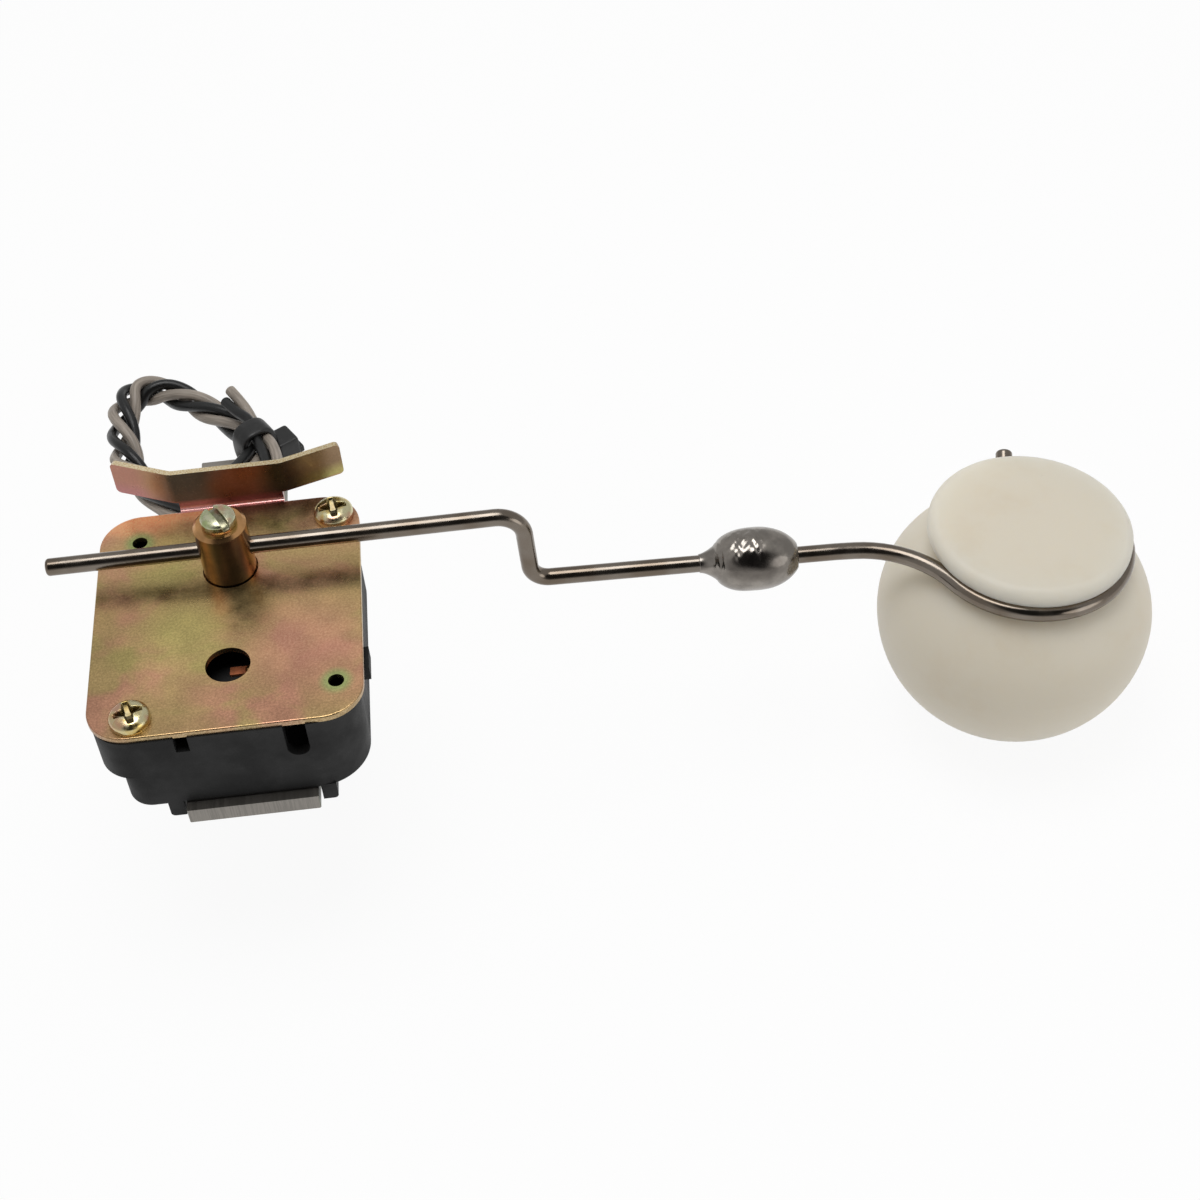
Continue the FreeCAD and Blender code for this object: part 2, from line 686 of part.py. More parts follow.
def add_stop_bracket(body):
    """The bracket: a root bent up from the plate, and a wider band whose wings lean back as arm stops."""
    root = sketch_on(body, "bracket_root", "XY_Plane", PLATE_BOTTOM)
    rectangle(root, "-flange_left + root_margin", "flange_right - root_margin", FLANGE_FACE, FLANGE_BACK)
    pad(body, root, "plate_thickness + flange_lift")
    band = sketch_on(body, "bracket_band", "XY_Plane", f"{PLATE_TOP} + flange_lift")
    left_run, left_set = "left_wing_length * cos(left_wing_angle)", "left_wing_length * sin(left_wing_angle)"
    right_run = "right_wing_length * cos(right_wing_angle)"
    right_set = "right_wing_length * sin(right_wing_angle)"
    outline(band, [
        (f"-flange_left - {left_run}", f"{FLANGE_FACE} + {left_set}"),
        ("-flange_left", FLANGE_FACE), ("flange_right", FLANGE_FACE),
        (f"flange_right + {right_run}", f"{FLANGE_FACE} + {right_set}"),
        (f"flange_right + {right_run} - plate_thickness * sin(right_wing_angle)",
         f"{FLANGE_FACE} + {right_set} + plate_thickness * cos(right_wing_angle)"),
        ("flange_right - plate_thickness * tan(right_wing_angle / 2)", FLANGE_BACK),
        ("-flange_left + plate_thickness * tan(left_wing_angle / 2)", FLANGE_BACK),
        (f"-flange_left - {left_run} + plate_thickness * sin(left_wing_angle)",
         f"{FLANGE_FACE} + {left_set} + plate_thickness * cos(left_wing_angle)"),
    ])
    pad(body, band, "flange_height - flange_lift")
    round_edges(body, "wing_bend_radius + plate_thickness",
                lambda edge: upright_at(edge, "-flange_left", FLANGE_FACE)
                or upright_at(edge, "flange_right", FLANGE_FACE))
    round_edges(body, "wing_bend_radius",
                lambda edge: upright_at(edge, "flange_right - plate_thickness * tan(right_wing_angle / 2)",
                                        FLANGE_BACK)
                or upright_at(edge, "-flange_left + plate_thickness * tan(left_wing_angle / 2)", FLANGE_BACK))
    round_edges(body, "bend_radius", lambda edge: flat_at(edge, PLATE_TOP)
                and near(edge.BoundBox.YMin, FLANGE_FACE) and near(edge.BoundBox.YMax, FLANGE_FACE))
    round_edges(body, "bend_radius + plate_thickness", lambda edge: flat_at(edge, PLATE_BOTTOM)
                and near(edge.BoundBox.YMin, FLANGE_BACK) and near(edge.BoundBox.YMax, FLANGE_BACK))
    tip_left = number(f"-flange_left - {left_run} + plate_thickness")
    tip_right = number(f"flange_right + {right_run} - plate_thickness")
    round_edges(body, "tip_round", lambda edge: edge.BoundBox.ZLength < 0.01
                and edge.BoundBox.ZMin > number(PLATE_TOP) + 0.1
                and (edge.BoundBox.XMax < tip_left or edge.BoundBox.XMin > tip_right)
                and edge.Length < number("plate_thickness") + 0.01)


def make_cover_screws():
    """Pan-head screws with a cross recess, through the plate into the housing's bosses."""
    pieces = []
    for name, x, y in (("left", "-screw_left_place", "-screw_left_setback"),
                       ("right", "screw_right_place", "screw_right_setback")):
        body = doc.addObject("PartDesign::Body", f"cover_screw_{name}")
        section = sketch_on(body, f"cover_screw_{name}_section", "XZ_Plane")
        outline(section, [
            ("0", f"{PLATE_TOP} - screw_reach"),
            ("screw_diameter / 2", f"{PLATE_TOP} - screw_reach"),
            ("screw_diameter / 2", PLATE_TOP),
            ("screw_head / 2", PLATE_TOP),
            ("screw_head / 2", f"{PLATE_TOP} + screw_head_height / 3"),
            ("screw_head / 4", f"{PLATE_TOP} + screw_head_height * 0.93"),
            ("0", f"{PLATE_TOP} + screw_head_height"),
        ], {4: ("radius", "screw_head_height * 0.9", "left"), 5: ("center_on_axis", "0", "left")})
        revolve(body, section)
        recess = sketch_on(body, f"cover_screw_{name}_recess", "XY_Plane", f"{PLATE_TOP} + screw_head_height")
        half, arm = "recess_width / 2", "recess_span / 2"
        outline(recess, [
            (f"-{half}", f"-{arm}"), (half, f"-{arm}"), (half, f"-{half}"), (arm, f"-{half}"),
            (arm, half), (half, half), (half, arm), (f"-{half}", arm),
            (f"-{half}", half), (f"-{arm}", half), (f"-{arm}", f"-{half}"), (f"-{half}", f"-{half}"),
        ])
        pocket(body, recess, "recess_depth")
        bind(body, "Placement.Base.x", x)
        bind(body, "Placement.Base.y", y)
        pieces.append(body)
    return group("cover_screws", pieces)


def make_hub_shaft():
    """One turned piece: journal, shaft for the carrier, collar under the plate and the clamping hub."""
    body = new_body("hub_shaft")
    section = sketch_on(body, "hub_section", "XZ_Plane")
    outline(section, [
        ("0", f"{BEARING_TOP} - journal_length + bearing_clearance"),
        ("journal_diameter / 2", f"{BEARING_TOP} - journal_length + bearing_clearance"),
        ("journal_diameter / 2", CARRIER_BOTTOM),
        ("shaft_diameter / 2", CARRIER_BOTTOM),
        ("shaft_diameter / 2", COLLAR_BOTTOM),
        ("collar_diameter / 2", COLLAR_BOTTOM),
        ("collar_diameter / 2", COLLAR_TOP),
        ("hub_diameter / 2", COLLAR_TOP),
        ("hub_diameter / 2", f"{HUB_TOP} - hub_chamfer"),
        ("hub_diameter / 2 - hub_chamfer", HUB_TOP),
        ("0", HUB_TOP),
    ])
    revolve(body, section)
    cross_hole = sketch_on(body, "hub_cross_hole", "YZ_Plane", "-hub_diameter")
    circle(cross_hole, "0", ROD_HEIGHT, "rod_diameter / 2 + rod_fit")
    pocket(body, cross_hole, "2 * hub_diameter", up=True)
    tapped_hole = sketch_on(body, "hub_tapped_hole", "XY_Plane", HUB_TOP)
    circle(tapped_hole, "0", "0", "clamp_diameter / 2 + clamp_fit")
    pocket(body, tapped_hole, "hub_rise - rod_rise")
    return body


def make_clamp_screw():
    """A slotted cheese-head screw that bears on the rod."""
    body = new_body("clamp_screw")
    section = sketch_on(body, "clamp_section", "XZ_Plane")
    outline(section, [
        ("0", f"{ROD_HEIGHT} + rod_diameter / 2 + rod_fit"),
        ("clamp_diameter / 2", f"{ROD_HEIGHT} + rod_diameter / 2 + rod_fit"),
        ("clamp_diameter / 2", HUB_TOP),
        ("clamp_head / 2", HUB_TOP),
        ("clamp_head / 2", f"{HUB_TOP} + clamp_head_height * 0.55"),
        ("0", f"{HUB_TOP} + clamp_head_height"),
    ], {4: ("center_on_axis", "0", "left")})
    revolve(body, section)
    slot = sketch_on(body, "clamp_slot", "XY_Plane", f"{HUB_TOP} + clamp_head_height")
    rectangle(slot, "-clamp_head", "clamp_head", "-clamp_slot_width / 2", "clamp_slot_width / 2")
    pocket(body, slot, "clamp_slot_depth")
    body.Placement = FreeCAD.Placement(FreeCAD.Vector(), FreeCAD.Rotation(FreeCAD.Vector(0, 0, 1), 0))
    bind(body, "Placement.Rotation.Angle", "clamp_slot_angle")
    return body


def turn_point(start, along, bend_to, radius, turn):
    """Points on a bend: its middle and its end, from a start, a heading, the side it bends to and a turn."""
    def at(angle):
        return start + along * (radius * math.sin(angle)) + bend_to * (radius * (1 - math.cos(angle)))
    return at(turn / 2), at(turn)


def bent_run(points, radii):
    """Edges along straight runs whose corners are arcs, with one radius for each inner point."""
    edges = []
    here = points[0]
    for before, corner, after, radius in zip(points, points[1:], points[2:], radii):
        inward = (before - corner).normalize()
        outward = (after - corner).normalize()
        half_turn = (math.pi - inward.getAngle(outward)) / 2
        trim = radius * math.tan(half_turn)
        start = corner + inward * trim
        end = corner + outward * trim
        middle_way = (inward + outward).normalize()
        middle = corner + middle_way * (radius / math.cos(half_turn) - radius)
        edges.append(Part.LineSegment(here, start).toShape())
        edges.append(Part.Arc(start, middle, end).toShape())
        here = end
    edges.append(Part.LineSegment(here, points[-1]).toShape())
    return edges


def sweep_round(edges, diameter, name):
    """Sweep a round section along a tangent path and compare the volume with section times length."""
    path = Part.Wire(edges)
    start = edges[0].valueAt(edges[0].FirstParameter)
    heading = edges[0].tangentAt(edges[0].FirstParameter)
    section = Part.Wire([Part.Circle(start, heading, diameter / 2).toShape()])
    solid = path.makePipeShell([section], True, False)
    expected = math.pi * (diameter / 2) ** 2 * path.Length
    print(f"{name}: length {path.Length:.1f}, volume ratio {solid.Volume / expected:.4f}")
    return solid


def arm_points():
    """The arm's corners in the plane of its offset: tail end, both bends and the kink before the loop."""
    height = number(ROD_HEIGHT)
    drop = number("drop_height")
    lean = number("drop_height * tan(drop_slant) / 2")
    place = number("drop_place")
    top = FreeCAD.Vector(place - lean, 0, height)
    foot = FreeCAD.Vector(place + lean, 0, height - drop)
    kink_x = number("loop_kink_place")
    kink = FreeCAD.Vector(kink_x, 0, foot.z - (kink_x - foot.x) * number("tan(arm_droop)"))
    return FreeCAD.Vector(-number("arm_tail"), 0, height), top, foot, kink


def loop_axes():
    """The loop's plane: its corner at the kink, its two directions and its normal."""
    kink = arm_points()[3]
    along = FreeCAD.Vector(number("cos(loop_droop)"), 0, -number("sin(loop_droop)"))
    across = FreeCAD.Vector(0, 1, 0)
    return kink, along, across, along.cross(across)


def loop_center():
    """The middle of the loop, on the float's axis."""
    kink, along, across, _ = loop_axes()
    return kink + along * number("loop_reach") - across * number("loop_side_shift")


def make_float_arm():
    """A steel rod: straight tail and first run, an offset bend, a second run and a loop round the float."""
    tail_end, top, foot, kink = arm_points()
    _, along, across, normal = loop_axes()
    center = loop_center()
    loop_radius = number("loop_radius")
    shift = number("loop_side_shift")
    run_in = number("loop_bend_start")
    reach = number("loop_reach") - run_in
    sweep_radius = (reach ** 2 + shift ** 2 - loop_radius ** 2) / (2 * (loop_radius + shift))
    bend_start = kink + along * run_in
    sweep_center = bend_start - across * sweep_radius
    meeting = sweep_center + (center - sweep_center) * (sweep_radius / (sweep_radius + loop_radius))
    sweep_turn = (meeting - sweep_center).getAngle(across)
    sweep_middle, _ = turn_point(bend_start, along, across * -1, sweep_radius, sweep_turn)
    first_angle = math.atan2((meeting - center).dot(across), (meeting - center).dot(along))
    last_angle = math.radians(number("loop_end_angle"))
    first_angle = first_angle if first_angle < last_angle else first_angle - 2 * math.pi

    def on_loop(angle):
        return center + along * (loop_radius * math.cos(angle)) + across * (loop_radius * math.sin(angle))

    loop_end = on_loop(last_angle)
    outward = (loop_end - center).normalize()
    heading = normal.cross(outward)
    lift = math.radians(number("tail_lift"))
    tail_way = outward * math.cos(lift) + normal * math.sin(lift)
    tail_middle, tail_start = turn_point(loop_end, heading, tail_way, number("tail_bend_radius"), math.pi / 2)
    radii = [number("upper_bend_radius"), number("lower_bend_radius"), number("kink_radius")]
    edges = bent_run([tail_end, top, foot, kink, bend_start], radii)
    edges.append(Part.Arc(bend_start, sweep_middle, meeting).toShape())
    edges.append(Part.Arc(meeting, on_loop((first_angle + last_angle) / 2), loop_end).toShape())
    edges.append(Part.Arc(loop_end, tail_middle, tail_start).toShape())
    edges.append(Part.LineSegment(tail_start, tail_start + tail_way * number("tail_length")).toShape())
    solid = sweep_round(edges, number("rod_diameter"), "float_arm")
    end_rims = [edge for edge in solid.Edges if near(edge.Length, "rod_diameter * pi", 0.02)
                and (near(edge.CenterOfMass.x, "-arm_tail") or edge.CenterOfMass.distanceToPoint(
                    tail_start + tail_way * number("tail_length")) < 0.01)]
    return plain_feature("float_arm", solid.makeFillet(number("rod_end_round"), end_rims))


def make_ballast_weight():
    """An egg cast on the second run, with a blunt outer end and a cone at its hub end."""
    body = new_body("ballast_weight")
    section = sketch_on(body, "ballast_section", "XZ_Plane")
    bore = "(rod_diameter / 2 + rod_fit)"
    half = "ballast_length / 2"
    outline(section, [
        (f"-{half} - ballast_cone_length", bore),
        (half, bore),
        (half, "ballast_end_diameter / 2"),
        ("0", "ballast_diameter / 2"),
        (f"-{half}", "ballast_shoulder_diameter / 2"),
        (f"-{half} - ballast_cone_length", "ballast_cone_diameter / 2"),
    ], {2: ("center_on_axis", "0", "left"), 3: ("center_on_axis", "0", "left")})
    revolve(body, section, "H_Axis")
    round_edges(body, "ballast_end_round", lambda edge: near(edge.BoundBox.XMin, half)
                and near(edge.BoundBox.YLength, "ballast_end_diameter"))
    _, _, foot, _ = arm_points()
    place_x = number("ballast_place")
    droop = number("arm_droop")
    height = foot.z - (place_x - foot.x) * number("tan(arm_droop)")
    body.Placement = FreeCAD.Placement(FreeCAD.Vector(place_x, 0, height),
                                       FreeCAD.Rotation(FreeCAD.Vector(0, 1, 0), droop))
    return body


def make_float():
    """A float turned about its own axis: rounded body, neck that the loop grips, and a domed head."""
    body = new_body("float")
    section = sketch_on(body, "float_section", "XZ_Plane")
    neck = "(loop_radius - rod_diameter / 2 - float_grip_gap)"
    half_groove = "(rod_diameter / 2 + float_grip_gap)"
    outline(section, [
        ("0", "-float_depth"),
        ("float_flank_diameter / 2", "-float_flank_depth"),
        ("float_diameter / 2", "-float_belly_depth"),
        (f"{neck} + float_lip", f"-{half_groove}"),
        (neck, f"-{half_groove}"),
        (neck, half_groove),
        ("head_diameter / 2", half_groove),
        ("head_diameter / 2", f"{half_groove} + head_height - head_dome"),
        ("0", f"{half_groove} + head_height"),
    ], {
        7: ("center_on_axis", "0", "left"),
        0: ("center_on_axis", "0", "left"),
        1: ("center_height", "-float_belly_depth", "left"),
        2: ("center_height", "-float_belly_depth", "left"),
    })
    revolve(body, section)
    round_edges(body, "head_round",
                lambda edge: flat_at(edge, f"{half_groove} + head_height - head_dome"))
    round_edges(body, "head_under_round", lambda edge: flat_at(edge, half_groove)
                and near(edge.BoundBox.XLength, "head_diameter"))
    body.Placement = FreeCAD.Placement(loop_center(),
                                       FreeCAD.Rotation(FreeCAD.Vector(0, 1, 0), number("loop_droop")))
    return body


def make_wiper_carrier():
    """An insulating disc on the shaft with an arm towards the inspection hole."""
    body = new_body("wiper_carrier")
    disc = sketch_on(body, "carrier_disc", "XY_Plane", CARRIER_BOTTOM)
    circle(disc, "0", "0", "carrier_diameter / 2")
    pad(body, disc, "carrier_thickness")
    arm = sketch_on(body, "carrier_arm", "XY_Plane", CARRIER_BOTTOM)
    rectangle(arm, "-carrier_arm_width / 2", "carrier_arm_width / 2", "-carrier_arm_reach", "0")
    pad(body, arm, "carrier_thickness")
    round_edges(body, "carrier_arm_width / 3", lambda edge: upright(edge)
                and near(edge.BoundBox.YMin, "-carrier_arm_reach"))
    bore = sketch_on(body, "carrier_bore", "XY_Plane", COLLAR_BOTTOM)
    circle(bore, "0", "0", "shaft_diameter / 2 + carrier_fit")
    circle(bore, "blade_rivet_place", f"-{BLADE_PLACE}", "blade_rivet_diameter / 2 + rivet_fit")
    pocket(body, bore, "carrier_thickness")
    return body


def make_contact_blade():
    """A copper strip on the end of the carrier's arm, out to the resistance track."""
    body = new_body("contact_blade")
    strip = sketch_on(body, "blade_strip", "XY_Plane", COLLAR_BOTTOM)
    rectangle(strip, "-blade_stub", "blade_length", f"-{BLADE_PLACE} - blade_width / 2",
              f"-{BLADE_PLACE} + blade_width / 2")
    circle(strip, "blade_rivet_place", f"-{BLADE_PLACE}", "blade_rivet_diameter / 2 + rivet_fit")
    pad(body, strip, "blade_thickness")
    return body


def make_blade_rivet():
    """A small rivet through the blade and the carrier's arm."""
    body = new_body("blade_rivet")
    section = sketch_on(body, "blade_rivet_section", "XZ_Plane")
    seat = f"({COLLAR_BOTTOM} + blade_thickness)"
    outline(section, [
        ("0", CARRIER_BOTTOM),
        ("blade_rivet_diameter / 2", CARRIER_BOTTOM),
        ("blade_rivet_diameter / 2", seat),
        ("blade_rivet_head / 2", seat),
        ("0", f"{seat} + blade_rivet_height"),
    ], {3: ("center_on_axis", "0", "left")})
    revolve(body, section)
    bind(body, "Placement.Base.x", "blade_rivet_place")
    bind(body, "Placement.Base.y", f"-{BLADE_PLACE}")
    return body


def make_contact_button():
    """A rounded button under the free end of the blade."""
    body = new_body("contact_button")
    section = sketch_on(body, "button_section", "XZ_Plane")
    outline(section, [
        ("0", BUTTON_BOTTOM),
        ("button_diameter / 2", f"{BUTTON_BOTTOM} + button_diameter / 3"),
        ("button_diameter / 2", f"{BUTTON_BOTTOM} + button_height"),
        ("0", f"{BUTTON_BOTTOM} + button_height"),
    ], {0: ("center_on_axis", "0", "left")})
    revolve(body, section)
    bind(body, "Placement.Base.x", BUTTON_PLACE)
    bind(body, "Placement.Base.y", f"-{BLADE_PLACE}")
    return body


def arc_wall(body, name, inner, outer, first, last, bottom, height):
    """A curved wall about the hub's axis between two radii and two angles."""
    sketch = sketch_on(body, name, "XY_Plane", bottom)
    outline(sketch, [
        (f"{inner} * cos({first})", f"{inner} * sin({first})"),
        (f"{outer} * cos({first})", f"{outer} * sin({first})"),
        (f"{outer} * cos({last})", f"{outer} * sin({last})"),
        (f"{inner} * cos({last})", f"{inner} * sin({last})"),
    ], {1: ("radius", outer, "left"), 3: ("radius", inner, "right")})
    return pad(body, sketch, height)


TRACK_TOP = f"({BUTTON_BOTTOM} - track_gap)"


def make_resistor_former():
    """A curved card that stands on the floor and carries the winding on its upper edge."""
    body = new_body("resistor_former")
    arc_wall(body, "former_wall", TRACK_INNER, TRACK_OUTER, "former_start_angle", FORMER_END,
             FLOOR_TOP, f"{TRACK_TOP} - winding_thickness - {FLOOR_TOP}")
    return body


def make_resistance_winding():
    """The wound band: a channel over the card's upper edge, short of both its ends."""
    body = new_body("resistance_winding")
    first = "(former_start_angle + winding_end_angle)"
    last = f"({FORMER_END} - winding_end_angle)"
    arc_wall(body, "winding_band", f"({TRACK_INNER} - winding_thickness)",
             f"({TRACK_OUTER} + winding_thickness)", first, last,
             f"{TRACK_TOP} - winding_depth", "winding_depth")
    slot = sketch_on(body, "winding_slot", "XY_Plane", f"{TRACK_TOP} - winding_depth")
    inner, outer = TRACK_INNER, TRACK_OUTER
    wide_first, wide_last = "former_start_angle", FORMER_END
    outline(slot, [
        (f"{inner} * cos({wide_first})", f"{inner} * sin({wide_first})"),
        (f"{outer} * cos({wide_first})", f"{outer} * sin({wide_first})"),
        (f"{outer} * cos({wide_last})", f"{outer} * sin({wide_last})"),
        (f"{inner} * cos({wide_last})", f"{inner} * sin({wide_last})"),
    ], {1: ("radius", outer, "left"), 3: ("radius", inner, "right")})
    pocket(body, slot, "winding_depth - winding_thickness", up=True)
    return body


def make_spring_washer():
    """A dished washer on the bearing post, just under the carrier."""
    body = new_body("spring_washer")
    section = sketch_on(body, "washer_section", "XZ_Plane")
    top = f"({CARRIER_BOTTOM} - bearing_clearance)"
    outline(section, [
        ("washer_diameter / 2", BEARING_TOP),
        ("washer_diameter / 2", f"{BEARING_TOP} + washer_thickness"),
        ("washer_bore / 2 + washer_thickness", top),
        ("washer_bore / 2", top),
        ("washer_bore / 2", f"{top} - washer_thickness"),
        ("washer_diameter / 2 - washer_thickness", BEARING_TOP),
    ])
    revolve(body, section)
    return body


def make_terminal(name, place, back, front):
    """A brass strip flat on the floor, with a rivet hole near its back end."""
    body = new_body(name)
    strip = sketch_on(body, f"{name}_strip", "XY_Plane", FLOOR_TOP)
    rectangle(strip, f"-{place} - terminal_width / 2", f"-{place} + terminal_width / 2", front, back)
    circle(strip, f"-{place}", f"{back} - terminal_width / 2", "terminal_rivet_diameter / 2 + rivet_fit")
    pad(body, strip, "terminal_thickness")
    return body


def make_terminal_rivets():
    """Rivets that hold the two terminal strips on the floor."""
    pieces = []
    for name, place in (("hub_terminal", "hub_terminal_place"), ("winding_terminal", WINDING_TERMINAL_PLACE)):
        body = doc.addObject("PartDesign::Body", f"{name}_rivet")
        section = sketch_on(body, f"{name}_rivet_section", "XZ_Plane")
        seat = f"({FLOOR_TOP} + terminal_thickness)"
        outline(section, [
            ("0", f"{HOUSING_BOTTOM}"),
            ("terminal_rivet_diameter / 2", f"{HOUSING_BOTTOM}"),
            ("terminal_rivet_diameter / 2", seat),
            ("terminal_rivet_head / 2", seat),
            ("0", f"{seat} + terminal_rivet_height"),
        ], {3: ("center_on_axis", "0", "left")})
        revolve(body, section)
        bind(body, "Placement.Base.x", f"-{place}")
        bind(body, "Placement.Base.y", f"{name}_back - terminal_width / 2")
        pieces.append(body)
    return group("terminal_rivets", pieces)


def make_lead_grommet():
    """A rubber bush with a flange on each side of the housing's back wall."""
    body = new_body("lead_grommet")
    section = sketch_on(body, "grommet_section", "XZ_Plane")
    bore = "(pair_diameter / 2 + grommet_bore_gap)"
    neck = "(pair_diameter / 2 + grommet_neck - rivet_fit)"
    flange = "(pair_diameter / 2 + grommet_flange)"
    outline(section, [
        (bore, "-grommet_flange_thickness"),
        (flange, "-grommet_flange_thickness"),
        (flange, "0"),
        (neck, "0"),
        (neck, "housing_wall"),
        (flange, "housing_wall"),
        (flange, "housing_wall + grommet_flange_thickness"),
        (bore, "housing_wall + grommet_flange_thickness"),
    ])
    revolve(body, section)
    body.Placement = FreeCAD.Placement(FreeCAD.Vector(), FreeCAD.Rotation(FreeCAD.Vector(1, 0, 0), -90))
    bind(body, "Placement.Base.x", "-lead_exit_place")
    bind(body, "Placement.Base.y", f"{HOUSING_BACK} - housing_wall")
    bind(body, "Placement.Base.z", "lead_exit_rise")
    return body


# Corners of the lead between the grommet and the coil, of the coil and of the two cut ends that lie on it
LEAD_CORNERS = [(-13.0, 25.8, 10.2), (-18.5, 30.0, 8.2), (-23.4, 35.6, 7.4), (-25.2, 45.4, 7.4)]
COIL_ROUTE = [(-25.2, 44.6, 7.4), (-25.5, 49.5, 7.6), (-25.6, 55.5, 8.2), (-24.8, 62.0, 8.6),
              (-22.0, 67.2, 8.6), (-17.2, 67.4, 8.4), (-13.0, 63.8, 8.0), (-8.4, 59.4, 7.6),
              (-3.0, 54.2, 7.4), (1.0, 47.8, 7.4), (4.2, 42.2, 7.4), (5.8, 37.0, 7.6),
              (3.4, 32.8, 8.0), (-2.0, 31.2, 8.4), (-9.0, 31.8, 8.4), (-15.5, 34.2, 8.0)]
GREY_END_ROUTE = [(4.3, 44.5, 11.25), (0.4, 51.0, 11.25), (-1.2, 55.4, 12.0), (-2.6, 60.2, 13.2)]
BLACK_END_ROUTE = [(2.3, 43.4, 11.25), (-1.5, 49.8, 11.25), (-3.1, 53.2, 12.0), (-4.2, 57.0, 13.0)]
BEND_SHARE = 0.45


def cord_radii(points, name):
    """The largest bend radius that each corner's shorter run allows."""
    radii = []
    for before, corner, after in zip(points, points[1:], points[2:]):
        shorter = min((before - corner).Length, (after - corner).Length)
        half_turn = (math.pi - (before - corner).getAngle(after - corner)) / 2
        radii.append(BEND_SHARE * shorter / math.tan(half_turn))
    print(f"{name}: bend radii", ", ".join(f"{radius:.1f}" for radius in radii))
    return radii


def lead_tube(route, diameter, name):
    """A plain tube along a route of straight runs and tangent arcs."""
    points = [FreeCAD.Vector(*point) for point in route]
    return sweep_round(bent_run(points, cord_radii(points, name)), diameter, name)


def lead_route():
    """Corners of the pair: straight out of the grommet, then down and round to the start of the coil."""
    across, rise, back = -number("lead_exit_place"), number("lead_exit_rise"), number(HOUSING_BACK)
    straight = [(across, back - number("lead_start"), rise), (across, back + number("lead_straight"), rise)]
    return straight + LEAD_CORNERS


def make_lead_run():
    """The twisted pair from the grommet to the coil."""
    return plain_feature("lead_run", lead_tube(lead_route(), number("pair_diameter"), "lead_run"))


def make_lead_ends():
    """The two cut ends that stick out of the tie over the coil."""
    diameter = number("lead_diameter")
    tubes = [lead_tube(GREY_END_ROUTE, diameter, "grey_end"), lead_tube(BLACK_END_ROUTE, diameter, "black_end")]
    return plain_feature("lead_ends", Part.makeCompound(tubes))


def make_lead_coil():
    """The outer shape of the coil: its turns lie together as one rope along a loop that is not quite closed."""
    return plain_feature("lead_coil", lead_tube(COIL_ROUTE, number("rope_diameter"), "lead_coil"))


def make_cable_tie():
    """A strap tie closed round the coil and the two ends, with its head low on the outer side."""
    body = new_body("cable_tie")
    section = sketch_on(body, "tie_section", "XZ_Plane", "-tie_width / 2")
    half = "(rope_diameter / 2 + tie_side_gap)"
    high = "(rope_diameter + tie_headroom)"
    low = "(tie_gap + tie_thickness)"
    rectangle(section, f"-{half} - tie_thickness", f"{half} + tie_thickness",
              f"-{low}", f"{high} + tie_thickness")
    rectangle(section, f"-{half}", half, "-tie_gap", high)
    pad(body, section, "tie_width")
    head = sketch_on(body, "tie_head", "XZ_Plane", "-tie_head_width / 2")
    rectangle(head, f"{half} + tie_thickness", f"{half} + tie_thickness + tie_head_length",
              f"-{low}", f"tie_head_height - {low}")
    pad(body, head, "tie_head_width")
    turn = FreeCAD.Rotation(FreeCAD.Vector(0, 0, 1), number("tie_turn"))
    body.Placement = FreeCAD.Placement(FreeCAD.Vector(), turn)
    bind(body, "Placement.Base.x", "tie_place")
    bind(body, "Placement.Base.y", "tie_setback")
    bind(body, "Placement.Base.z", COIL_BOTTOM)
    return body


def check(pieces):
    """Stop if any object failed or any sub-part is empty or not valid."""
    doc.recompute()
    for thing in doc.Objects:
        if "Invalid" in thing.State or "Error" in thing.State:
            raise RuntimeError(f"{thing.Name} failed: {thing.State}")
    for piece in pieces:
        if piece.Shape.isNull() or not piece.Shape.isValid():
            raise RuntimeError(f"{piece.Label} has no valid shape")


def main():
    """Build every sub-part and write one STEP file for each."""
    pieces = [
        make_mounting_strap(), make_strap_rivets(), make_housing(), make_cover_plate(), make_cover_screws(),
        make_hub_shaft(), make_clamp_screw(), make_float_arm(), make_ballast_weight(), make_float(),
        make_wiper_carrier(), make_contact_blade(), make_blade_rivet(), make_contact_button(),
        make_resistor_former(), make_resistance_winding(), make_spring_washer(),
        make_terminal("hub_terminal", "hub_terminal_place", "hub_terminal_back", "hub_terminal_front"),
        make_terminal("winding_terminal", WINDING_TERMINAL_PLACE, "winding_terminal_back",
                      f"-{WINDING_TERMINAL_FRONT}"),
        make_terminal_rivets(), make_lead_grommet(), make_lead_run(), make_lead_coil(), make_lead_ends(),
        make_cable_tie(),
    ]
    check(pieces)
    os.makedirs("parts", exist_ok=True)
    for piece in pieces:
        piece.Shape.exportStep(f"parts/{piece.Label}.step")
        print(f"{piece.Label}: {len(piece.Shape.Solids)} solids, {piece.Shape.Volume:.1f} mm3")


main()
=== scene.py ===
import math

